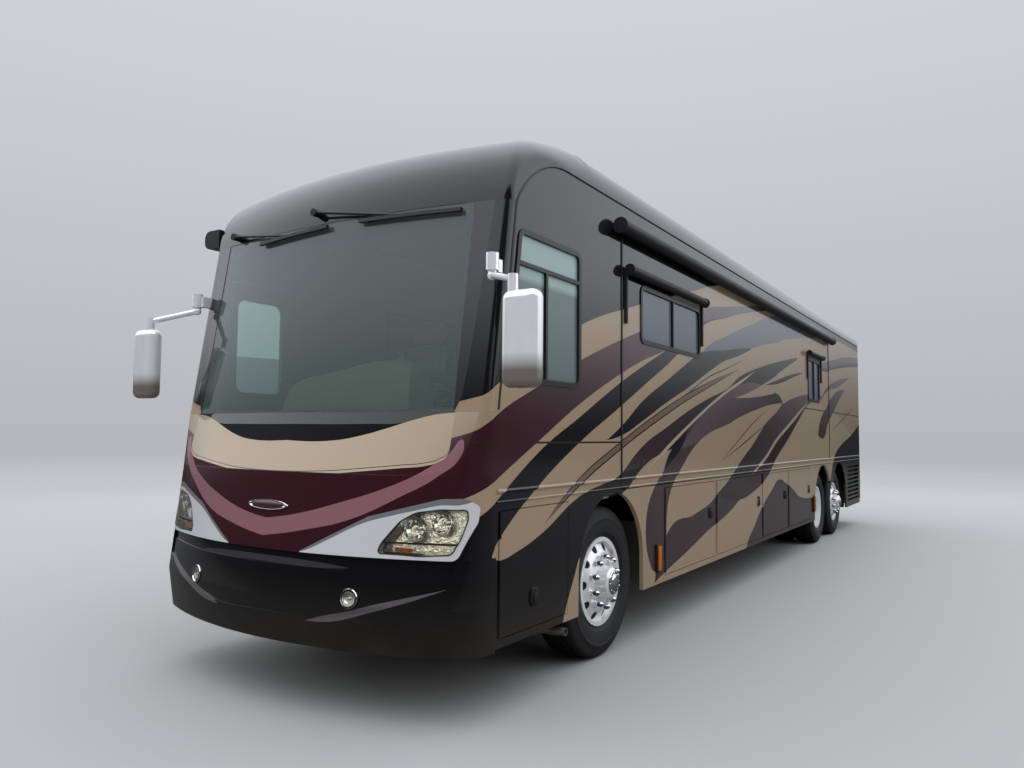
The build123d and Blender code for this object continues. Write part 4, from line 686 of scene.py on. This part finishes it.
def tube(mesh, points, radius, facets=14):
    # round bar along a line of points, ends closed
    part = bmesh.new()
    rings = []
    for i, spot in enumerate(points):
        spot = Vector(spot)
        run = (Vector(points[min(i + 1, len(points) - 1)]) - Vector(points[max(i - 1, 0)])).normalized()
        stand = Matrix.Translation(spot) @ run.to_track_quat("Z", "Y").to_matrix().to_4x4()
        ring = bmesh.ops.create_circle(part, segments=facets, radius=radius, matrix=stand)["verts"]
        rings.append([e for e in part.edges if e.verts[0] in ring and e.verts[1] in ring])
    for one, two in zip(rings, rings[1:]):
        bmesh.ops.bridge_loops(part, edges=one + two)
    bmesh.ops.holes_fill(part, edges=rings[0] + rings[-1], sides=facets)
    joinInto(mesh, part)


def closedLoop(mesh, spots):
    # edges of a closed line through the spots, ready to bridge
    ring = [mesh.verts.new(spot) for spot in spots]
    return [mesh.edges.new(pair) for pair in zip(ring, ring[1:] + ring[:1])]


def frontAt(name, x, z, ahead=-9.0):
    # place and direction of a node's face, looked at from straight ahead
    return nodes[name].ray_cast((x, ahead, z), (0.0, 1.0, 0.0))[1:3]


# Tyres: the CAD section with ribs cut into the tread, and shoulder blocks on the drive tyres
wheelPlaces = {
    # distance behind the front axle, then for each tyre its distance from the middle and its disc's set-out
    "front": (0.0, [(1.063, 0.118)]),
    "drive": (7.16, [(1.063, -0.02), (0.728, 0.02)]),
    "tag": (8.41, [(1.063, 0.118)]),
}
tyreData = {
    "grooves": (-0.064, -0.0215, 0.0215, 0.064), "groove": 0.011, "depth": 0.013, "slope": 0.002,
    "treadHalf": 0.097, "crown": 0.004, "steps": 120, "shoulder": (0.49, 0.513), "block": 0.007,
    # bead, rim guard and sidewall with its raised rings: across, radius
    "flank": [(-0.112, 0.288), (-0.112, 0.306), (-0.126, 0.322), (-0.137, 0.336), (-0.1395, 0.339),
              (-0.1405, 0.345), (-0.1412, 0.348), (-0.1462, 0.372), (-0.149, 0.4), (-0.1478, 0.424),
              (-0.1492, 0.427), (-0.1488, 0.434), (-0.1462, 0.437), (-0.135, 0.47), (-0.1307, 0.486),
              (-0.123, 0.5), (-0.112, 0.5085), (-0.097, 0.514)],
}


def crown(x):
    # tread radius, fullest in the middle
    return wheelRadius - tyreData["crown"] * (x / tyreData["treadHalf"]) ** 2


treadLine = []
for middle in tyreData["grooves"]:
    low, high = middle - tyreData["groove"] / 2, middle + tyreData["groove"] / 2
    floorAt = crown(middle) - tyreData["depth"]
    treadLine += [(low, crown(low)), (low + tyreData["slope"], floorAt)]
    treadLine += [(high - tyreData["slope"], floorAt), (high, crown(high))]
flank = tyreData["flank"]
tyreSection = flank + treadLine + [(-x, r) for x, r in reversed(flank)] + flank[:1]
for axle, (back, places) in wheelPlaces.items():
    hub = Vector((0, axleY + back, wheelRadius))
    for side, word in sides:
        mesh = bmesh.new()
        for x, dish in places:
            turned(mesh, tyreSection, (side * x, axleY + back, wheelRadius), (1, 0, 0), tyreData["steps"])
        if axle == "drive":
            blocks = []
            for face in mesh.faces:
                out = face.calc_center_median() - hub
                turnStep = int((math.atan2(out.z, out.y) / math.tau + 0.5) * tyreData["steps"])
                if tyreData["shoulder"][0] < math.hypot(out.y, out.z) < tyreData["shoulder"][1] and turnStep % 2:
                    blocks.append(face)
            for face in bmesh.ops.extrude_discrete_faces(mesh, faces=blocks)["faces"]:
                out = face.calc_center_median() - hub
                inward = -Vector((0, out.y, out.z)).normalized() * tyreData["block"]
                bmesh.ops.translate(mesh, vec=inward, verts=face.verts[:])
        piece = addPiece(axle + "_tread_" + word, mesh, axle + "_wheel_" + word, "rubber", sharp=28)
        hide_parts(axle + "_tyre_" + word)
print("tyres")

# Bullet covers over the wheel nuts, a dome on the hub cap, the drum seen through the hand holes, and dark plates in
# the holes as painted shade
wheelTrim = {
    "nuts": 10, "nutCircle": 0.1675, "nutSeat": 0.0142,
    "nutCover": [(0.0, 0.0), (0.0, 0.0255), (0.010, 0.0255), (0.012, 0.0225), (0.042, 0.0205), (0.056, 0.0150),
                 (0.0625, 0.0065), (0.0635, 0.0)],
    "hubSeat": 0.1041,
    "hubDome": [(0.0, 0.0), (0.0, 0.078), (0.004, 0.08), (0.008, 0.076), (0.010, 0.058), (0.016, 0.05),
                (0.021, 0.03), (0.0225, 0.0)],
    "bolts": 8, "boltCircle": 0.066, "bolt": [(0.0, 0.0), (0.0, 0.006), (0.0125, 0.0055), (0.0135, 0.0)],
    "drum": [(-0.025, 0.15), (-0.067, 0.262), (-0.077, 0.262), (-0.035, 0.15), (-0.025, 0.15)],
    # dark plates inside the hand holes, on the slope of the disc: painted shade for the dark inside of the wheel
    "holes": 10, "holeCircle": 0.236, "holeRadius": 0.0284, "holeSides": 20, "holeSeat": 0.0125, "holeSlope": 0.55,
}


def ringSpots(back, radius, count, start=0.0):
    # even places on a circle about an axle: angle, y and z
    for step in range(count):
        angle = math.tau / count * (step + start)
        yield angle, axleY + back + radius * math.cos(angle), wheelRadius + radius * math.sin(angle)


for axle, (back, places) in wheelPlaces.items():
    x, dish = places[0]
    for side, word in sides:
        outward = (side, 0, 0)
        mesh = bmesh.new()
        seat = side * (x + dish + wheelTrim["nutSeat"])
        for angle, y, z in ringSpots(back, wheelTrim["nutCircle"], wheelTrim["nuts"], 0.5):
            turned(mesh, wheelTrim["nutCover"], (seat, y, z), outward, steps=16)
        seat = side * (x + dish + wheelTrim["hubSeat"])
        turned(mesh, wheelTrim["hubDome"], (seat, axleY + back, wheelRadius), outward, steps=40)
        for angle, y, z in ringSpots(back, wheelTrim["boltCircle"], wheelTrim["bolts"]):
            turned(mesh, wheelTrim["bolt"], (seat, y, z), outward, steps=6)
        body = axle + "_wheel_" + word
        addPiece(axle + "_nut_covers_" + word, mesh, body, "chrome")
        mesh = bmesh.new()
        drum = [(dish + a, r) for a, r in wheelTrim["drum"]]
        turned(mesh, drum, (side * x, axleY + back, wheelRadius), outward, steps=48)
        # dark plates in the hand holes: painted shade
        for angle, y, z in ringSpots(back, wheelTrim["holeCircle"], wheelTrim["holes"]):
            ring = []
            for corner in range(wheelTrim["holeSides"]):
                out = wheelTrim["holeRadius"] * math.cos(math.tau / wheelTrim["holeSides"] * corner)
                wide = wheelTrim["holeRadius"] * math.sin(math.tau / wheelTrim["holeSides"] * corner)
                across = side * (x + dish - wheelTrim["holeSeat"] - wheelTrim["holeSlope"] * out)
                ring.append(mesh.verts.new((across, y + out * math.cos(angle) - wide * math.sin(angle),
                                            z + out * math.sin(angle) + wide * math.cos(angle))))
            mesh.faces.new(ring)
        addPiece(axle + "_brake_drum_and_hole_shade_" + word, mesh, body, "iron")
print("wheel trim")

# Headlamps behind the clear lens: a bright bucket, a black seal, two faceted bowls with bulbs, an amber strip
lampData = {
    "outline": [(0.795, 0.945), (0.885, 1.062), (0.965, 1.11), (1.095, 1.13), (1.222, 1.132), (1.226, 1.078),
                (1.203, 0.977), (1.168, 0.897), (1.015, 0.886), (0.775, 0.89)],  # from the middle, height
    "bucket": ((0.965, 0.011), (0.93, 0.045), (0.88, 0.085)),  # share of the outline, depth behind the lens
    "sealShare": 0.985, "sealRun": 0.018, "sealEase": 0.005, "sealRadius": 0.0035,
    "barFrom": 0.81, "barStep": 0.042, "barPoints": 10, "barHeight": 0.95, "barDepth": 0.012, "barRadius": 0.005,
    "bowls": [(0.944, 1.018, 0.066), (1.083, 1.052, 0.064)],  # from the middle, height, radius
    "bowlDepth": 0.014, "facets": 18,
    "amber": (0.905, 0.912), "amberSize": (0.10, 0.03, 0.022), "amberDepth": 0.034,
}
lampMiddle = [sum(p[i] for p in lampData["outline"]) / len(lampData["outline"]) for i in (0, 1)]


def drawnIn(share):
    # the lens outline drawn in towards its middle
    return [tuple(m + (c - m) * share for c, m in zip(point, lampMiddle)) for point in lampData["outline"]]


def bowlSection(radius):
    # rim, dish and the bulb's cap in the middle
    return [(0.004, radius + 0.004), (0.0, radius + 0.002), (0.0, radius), (0.012, radius * 0.93),
            (0.03, radius * 0.74), (0.043, radius * 0.5), (0.049, radius * 0.24), (0.05, 0.011), (0.022, 0.0105),
            (0.014, 0.007), (0.012, 0.0)]


for side, word in sides:
    mesh = bmesh.new()
    loops = []
    for share, deeper in lampData["bucket"]:
        spots = [(side * x, frontAt("front_lamps", side * x, z)[0].y + deeper, z) for x, z in drawnIn(share)]
        loops.append(closedLoop(mesh, spots))
    for one, two in zip(loops, loops[1:]):
        bmesh.ops.bridge_loops(mesh, edges=one + two)
    bmesh.ops.holes_fill(mesh, edges=loops[-1], sides=12)
    bmesh.ops.triangulate(mesh, faces=[f for f in mesh.faces if len(f.verts) > 4])
    addPiece("headlamp_bucket_" + word, mesh, "coach", "bucket", sharp=30)
    mesh = bmesh.new()
    seal = []
    corners = [Vector(point) for point in drawnIn(lampData["sealShare"])]
    for before, here, after in zip(corners[-1:] + corners, corners, corners[1:] + corners[:1]):
        toBefore, toAfter = (before - here).normalized(), (after - here).normalized()
        seal.append(here + toBefore * lampData["sealRun"])
        seal.append(here + (toBefore + toAfter) * lampData["sealEase"])
        seal.append(here + toAfter * lampData["sealRun"])
    seal = [frontAt("front_lamps", side * p.x, p.y)[0] for p in seal + seal[:2]]
    tube(mesh, seal, lampData["sealRadius"], facets=8)
    bar = []
    for step in range(lampData["barPoints"]):
        across = side * (lampData["barFrom"] + lampData["barStep"] * step)
        spot, normal = frontAt("front_lamps", across, lampData["barHeight"])
        bar.append(spot + Vector((0, lampData["barDepth"], 0)))
    tube(mesh, bar, lampData["barRadius"], facets=8)
    addPiece("headlamp_seal_" + word, mesh, "coach", "trim")
    mesh = bmesh.new()
    for x, z, radius in lampData["bowls"]:
        spot, normal = frontAt("front_lamps", side * (x + radius), z)
        seat = (side * x, spot.y + lampData["bowlDepth"], z)
        turned(mesh, bowlSection(radius), seat, (0, 1, 0), lampData["facets"])
    addPiece("headlamp_bowls_" + word, mesh, "coach", "reflector", sharp=5)
    mesh = bmesh.new()
    x, z = lampData["amber"]
    spot, normal = frontAt("front_lamps", side * x, z)
    seat = (side * x, spot.y + lampData["amberDepth"], z)
    roundedBlock(mesh, seat, lampData["amberSize"], corner=0.008, edge=0.002, along=1)
    addPiece("headlamp_marker_" + word, mesh, "coach", "amberLens")
print("headlamps")

# Fog lamps: chrome ring, dish and domed glass in the bumper's holes
fogData = {
    "place": (0.64, 0.648), "steps": 40, "thickness": 0.002,
    "ring": [(0.0005, 0.0535), (0.012, 0.0535), (0.0165, 0.05), (0.0165, 0.046), (0.011, 0.043), (0.004, 0.036),
             (0.001, 0.02), (0.0008, 0.009), (0.009, 0.008), (0.0105, 0.0)],
    "glass": [(0.012, 0.0425), (0.015, 0.034), (0.0175, 0.018), (0.0182, 0.0)],
}
for side, word in sides:
    spot, normal = frontAt("front_lamps", side * fogData["place"][0], fogData["place"][1])
    mesh = bmesh.new()
    turned(mesh, fogData["ring"], spot, normal, fogData["steps"])
    addPiece("fog_lamp_ring_" + word, mesh, "coach", "chrome")
    mesh = bmesh.new()
    turned(mesh, fogData["glass"], spot, normal, fogData["steps"])
    piece = addPiece("fog_lamp_glass_" + word, mesh, "coach", "lens")
    piece.modifiers.new("glass thickness", "SOLIDIFY").thickness = fogData["thickness"]
print("fog lamps")

# Paddle latches on the bay and service doors
latchData = {
    "plate": (0.010, 0.075, 0.105), "plateOut": 0.0055,
    "paddle": (0.010, 0.048, 0.060), "paddleOut": 0.0135, "paddleDrop": 0.012,
    "keyhole": [(0.0, 0.0), (0.0, 0.009), (0.003, 0.0085), (0.0034, 0.0)], "keyOut": 0.0106, "keyRise": 0.036,
    # distance behind the front axle, height
    "doors": {"service_door": (-1.063, 0.602), "bay_door_1": (2.058, 0.837), "bay_door_2": (3.658, 0.837),
              "bay_door_3": (4.848, 0.837), "bay_door_4": (6.143, 0.837)},
}
for side, word in sides:
    for door, (back, height) in latchData["doors"].items():
        body = word + "_" + door
        if body not in frame["bodies"]:
            continue
        mesh = bmesh.new()
        y = axleY + back
        plateX, paddleX, keyX = (side * (wallFace + latchData[k]) for k in ("plateOut", "paddleOut", "keyOut"))
        roundedBlock(mesh, (plateX, y, height), latchData["plate"], corner=0.014, edge=0.003, along=0)
        low = height - latchData["paddleDrop"]
        roundedBlock(mesh, (paddleX, y, low), latchData["paddle"], corner=0.009, edge=0.003, along=0)
        turned(mesh, latchData["keyhole"], (keyX, y, height + latchData["keyRise"]), (side, 0, 0), steps=20)
        addPiece(body + "_latch", mesh, body, "plastic")

# Amber side markers on black bases, exhaust tip of the generator
markerData = {
    "places": {"front": (0.79, 0.585, 0.19), "rear": (6.46, 0.62, 0.2)},  # behind the front axle, height, length
    "baseOut": 0.0085, "base": (0.016, 0.085), "rim": 0.03, "lensOut": 0.0225, "lens": (0.013, 0.06),
}
for side, word in sides:
    for name, (back, height, long) in markerData["places"].items():
        mesh = bmesh.new()
        spot = (side * (wallFace + markerData["baseOut"]), axleY + back, height)
        roundedBlock(mesh, spot, (*markerData["base"], long + markerData["rim"]), corner=0.012, edge=0.003, along=0)
        addPiece(name + "_marker_base_" + word, mesh, "coach", "plastic")
        mesh = bmesh.new()
        spot = (side * (wallFace + markerData["lensOut"]), axleY + back, height)
        roundedBlock(mesh, spot, (*markerData["lens"], long), corner=0.012, edge=0.005, along=0)
        addPiece(name + "_marker_" + word, mesh, "coach", "amberLens")
exhaustData = {
    "bend": [(0.86, -0.73, 0.42), (0.9, -0.72, 0.36), (0.97, -0.71, 0.322), (1.05, -0.705, 0.315)], "radius": 0.021,
    "axis": (1, 0, 0.06),
    "tip": [(0.25, 0.022), (0.25, 0.0245), (0.0, 0.0235), (-0.02, 0.0225), (-0.02, 0.0215), (0.25, 0.0215),
            (0.25, 0.022)],
    "clamp": [(0.0, 0.0265), (0.0, 0.030), (0.016, 0.030), (0.016, 0.0265), (0.0, 0.0265)],
    "clampPlace": (1.06, -0.705, 0.3156),
}
bend = [(x, axleY + back, z) for x, back, z in exhaustData["bend"]]
x, back, z = exhaustData["clampPlace"]
mesh = bmesh.new()
tube(mesh, bend, exhaustData["radius"])
turned(mesh, exhaustData["tip"], bend[-1], exhaustData["axis"], steps=28)
turned(mesh, exhaustData["clamp"], (x, axleY + back, z), exhaustData["axis"], steps=28)
addPiece("generator_exhaust_tip", mesh, "coach", "pipe")
print("latches, markers and exhaust tip")

# Mirror glass in the rear faces of the heads, drip bead round the side walls' upper edge
mirrorData = {"place": (1.58, -1.629), "size": (0.122, 0.004), "panes": ((1.81, 1.95), (1.965, 2.195))}
beadData = {
    "out": 0.0005, "radius": 0.007, "pillar": [(-1.455, 1.66), (-1.29, 2.85)],
    "arcCentre": (-0.7, 2.518), "arcRadius": 0.677, "arcFrom": 150.6, "arcSweep": 60.6, "arcSteps": 12,
    "roof": [(2.0, 3.195), (6.0, 3.195), (10.35, 3.195)],
}
for side, word in sides:
    mesh = bmesh.new()
    x, back = mirrorData["place"]
    for low, high in mirrorData["panes"]:
        spot = (side * x, axleY + back, (low + high) / 2)
        roundedBlock(mesh, spot, (*mirrorData["size"], high - low), corner=0.014, edge=0.001, along=1)
    addPiece("mirror_glass_" + word, mesh, "coach", "mirrorGlass")
    mesh = bmesh.new()
    line = list(beadData["pillar"])
    for step in range(1, beadData["arcSteps"] + 1):
        angle = math.radians(beadData["arcFrom"] - step * beadData["arcSweep"] / beadData["arcSteps"])
        line.append((beadData["arcCentre"][0] + beadData["arcRadius"] * math.cos(angle),
                     beadData["arcCentre"][1] + beadData["arcRadius"] * math.sin(angle)))
    line += beadData["roof"]
    run = [(side * (wallFace + beadData["out"]), axleY + back, height) for back, height in line]
    tube(mesh, run, beadData["radius"], facets=8)
    addPiece("drip_bead_" + word, mesh, "coach", "trim")
print("mirror glass and drip beads")

# Plain oval badge on the nose
badgeData = {
    "height": 1.109, "stretch": (1.7, 0.3, 1.0), "gap": 0.0003, "steps": 64,
    "rim": [(0.0, 0.0), (0.0, 0.097), (0.006, 0.095), (0.008, 0.090), (0.005, 0.085), (0.004, 0.0)],
    "face": [(0.0042, 0.0), (0.0042, 0.084), (0.006, 0.07), (0.0075, 0.03), (0.008, 0.0)],
}
spot, normal = frontAt("nose_panel", 0.0, badgeData["height"])
lean = normal.to_track_quat("Z", "Y").to_matrix().to_4x4()
for name, finish, slot in (("rim", "chrome", "mirror_chrome"), ("face", "badge", "body_paint")):
    mesh = bmesh.new()
    turned(mesh, badgeData[name], (0, 0, 0), (0, 0, 1), badgeData["steps"])
    bmesh.ops.scale(mesh, vec=badgeData["stretch"], verts=mesh.verts[:])
    seat = Matrix.Translation(spot + normal * badgeData["gap"]) @ lean
    bmesh.ops.transform(mesh, matrix=seat, verts=mesh.verts[:])
    addPiece("nose_badge_" + name, mesh, "coach", finish)

# Shade panel behind the windshield's upper edge, instrument cowl as a soft hump on the dash
shadeData = {
    "heights": (2.64, 2.70, 2.76, 2.835), "from": -1.0, "step": 0.125, "columns": 17,
    "behind": 0.05, "lean": 0.04, "thickness": 0.012,
}
mesh = bmesh.new()
rows = []
for height in shadeData["heights"]:
    back = shadeData["behind"] + shadeData["lean"] * (height - shadeData["heights"][0])
    row = []
    for step in range(shadeData["columns"]):
        x = shadeData["from"] + step * shadeData["step"]
        row.append(mesh.verts.new((x, frontAt("windshield", x, height)[0].y + back, height)))
    rows.append(row)
for lower, upper in zip(rows, rows[1:]):
    for corners in zip(lower, lower[1:], upper[1:], upper):
        mesh.faces.new(corners)
bmesh.ops.solidify(mesh, geom=mesh.faces[:], thickness=shadeData["thickness"])
addPiece("windshield_shade", mesh, "coach", "shade")
cowlData = {
    # across, top height of the hump
    "crest": [(-0.55, 1.79), (-0.5, 1.86), (-0.4, 1.9), (-0.16, 1.93), (0.05, 1.965), (0.22, 1.985), (0.4, 1.99),
              (0.5, 1.975), (0.55, 1.92)],
    "frontFoot": (-1.33, 1.672), "rearFoot": (-1.08, 1.692),
    # behind the front axle, drop from the top
    "hump": ((-1.325, 0.07), (-1.3, 0.02), (-1.24, 0.0), (-1.15, 0.012), (-1.1, 0.05)),
}
mesh = bmesh.new()
loops = []
for x, top in cowlData["crest"]:
    hump = [(back, top - drop) for back, drop in cowlData["hump"]]
    line = [cowlData["frontFoot"], *hump, cowlData["rearFoot"]]
    loops.append(closedLoop(mesh, [(x, axleY + back, height) for back, height in line]))
for one, two in zip(loops, loops[1:]):
    bmesh.ops.bridge_loops(mesh, edges=one + two)
bmesh.ops.holes_fill(mesh, edges=loops[0] + loops[-1], sides=8)
addPiece("instrument_cowl", mesh, "coach", "dash", sharp=60)

# Rubber seals on the slide's front and rear edges, radiator screen behind the louvres, mud flaps
sealData = {"out": 0.0035, "inset": 0.004, "height": 2.115, "size": (0.006, 0.02, 1.79)}
screenData = {"place": (1.226, 9.7, 0.77), "size": (0.008, 1.16, 0.66)}
flapData = {"place": (0.93, 9.05, 0.76), "size": (0.62, 0.01, 0.76)}
slideCorners = [nodes["slide_room"].matrix_world @ Vector(corner) for corner in nodes["slide_room"].bound_box]
slideFront, slideRear = min(c.y for c in slideCorners), max(c.y for c in slideCorners)
mesh = bmesh.new()
for y in (slideFront + sealData["inset"], slideRear - sealData["inset"]):
    seat = (wallFace + sealData["out"], y, sealData["height"])
    roundedBlock(mesh, seat, sealData["size"], corner=0.009, edge=0.002, along=0)
addPiece("slide_seals", mesh, "slide_out", "trim")
x, back, z = screenData["place"]
mesh = bmesh.new()
roundedBlock(mesh, (x, axleY + back, z), screenData["size"], corner=0.01, edge=0.002, along=0)
addPiece("radiator_screen", mesh, "coach", "iron")
x, back, z = flapData["place"]
for side, word in sides:
    mesh = bmesh.new()
    roundedBlock(mesh, (side * x, axleY + back, z), flapData["size"], corner=0.02, edge=0.002, along=1)
    addPiece("mud_flap_" + word, mesh, "coach", "rubber")
print("badge, shade, cowl, seals, screen and flaps")

# Cab seats: crowned cushions with sewn channels, on pedestals with armrests
seatData = {
    "places": (("driver", 0.56), ("passenger", -0.33)),
    "crown": 0.018, "channel": 0.010, "channelWidth": 0.05, "channelFrom": 0.6, "cuts": 15,
    "easing": (0.17, 0.06),  # how far edges, and corners less so, are drawn in
    "cushions": [
        # across (both sides if not 0), behind the front axle, height, size, crowned axis, channels, lean
        (0.0, -0.35, 1.575, (0.52, 0.56, 0.15), 2, (-0.45, 0.45), 0.0),  # seat
        (0.232, -0.35, 1.60, (0.09, 0.52, 0.11), 2, (), 0.0),  # its side rolls
        (0.218, -0.092, 1.93, (0.085, 0.14, 0.58), 1, (), -3.0),  # the back's side rolls
        (0.275, -0.28, 1.79, (0.07, 0.30, 0.075), 2, (), 0.0),  # armrests
        (0.0, -0.062, 1.90, (0.50, 0.13, 0.68), 1, (-0.4, 0.4), -3.0),  # back
        (0.0, -0.052, 2.335, (0.30, 0.10, 0.17), 1, (), -3.0),  # headrest
    ],
    "pedestalBack": -0.37,
    "pedestal": [
        # height, size, corner, edge
        (1.205, (0.34, 0.34, 0.03), 0.04, 0.006),
        (1.35, (0.22, 0.24, 0.27), 0.05, 0.01),
        (1.49, (0.40, 0.42, 0.03), 0.03, 0.006),
    ],
    "armBar": [(0.275, -0.14, 1.77), (0.275, -0.10, 1.70), (0.23, -0.08, 1.62)], "armRadius": 0.016,
    "headBar": [(0.07, -0.05, 2.20), (0.07, -0.05, 2.30)], "headRadius": 0.008,
}


def cushion(mesh, centre, size, crownOn, channels, lean):
    # closed padded form: rounded edges, crowned on one axis, sides drawn in between the corners, sewn channels
    part = bmesh.new()
    bmesh.ops.create_cube(part, size=2.0)
    bmesh.ops.subdivide_edges(part, edges=part.edges[:], cuts=seatData["cuts"], use_grid_fill=True)
    flat = [a for a in (0, 1, 2) if a != crownOn]
    ease, spare = seatData["easing"]
    for vert in part.verts:
        u, v, w = vert.co
        # pull the corners of the cube in to a rounded block
        shape = [c * math.sqrt(max(0.0, 1 - ease * (a * a + b * b) + spare * a * a * b * b))
                 for c, a, b in ((u, v, w), (v, u, w), (w, u, v))]
        swell = (1 - shape[flat[0]] ** 2) * (1 - shape[flat[1]] ** 2)
        spot = Vector([s * length / 2 for s, length in zip(shape, size)])
        spot[crownOn] += math.copysign(seatData["crown"] * max(0.0, swell), shape[crownOn])
        for line in channels:
            dip = math.exp(-((shape[flat[0]] - line) / seatData["channelWidth"]) ** 2) * seatData["channel"]
            spot[crownOn] -= math.copysign(dip, shape[crownOn]) * (abs(shape[crownOn]) > seatData["channelFrom"])
        vert.co = spot
    bmesh.ops.rotate(part, cent=(0, 0, 0), matrix=Matrix.Rotation(math.radians(lean), 3, "X"), verts=part.verts[:])
    bmesh.ops.translate(part, vec=centre, verts=part.verts[:])
    joinInto(mesh, part)


for word, x in seatData["places"]:
    mesh = bmesh.new()
    for across, back, height, size, crownOn, channels, lean in seatData["cushions"]:
        for edge in (-1, 1) if across else (1,):
            cushion(mesh, (x + edge * across, axleY + back, height), size, crownOn, channels, lean)
    piece = addPiece(word + "_seat_cushions", mesh, "coach", "leather", sharp=60)
    smooth = piece.modifiers.new("soft edges", "SUBSURF")
    smooth.levels = smooth.render_levels = 1
    if word == "driver":
        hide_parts("cab_seats")
    mesh = bmesh.new()
    for height, size, corner, edge in seatData["pedestal"]:
        roundedBlock(mesh, (x, axleY + seatData["pedestalBack"], height), size, corner, edge, along=2)
    for edge in (-1, 1):
        for bar, radius in (("armBar", "armRadius"), ("headBar", "headRadius")):
            tube(mesh, [(x + edge * a, axleY + back, z) for a, back, z in seatData[bar]], seatData[radius])
    addPiece(word + "_seat_pedestal", mesh, "coach", "plastic")
print("seats")
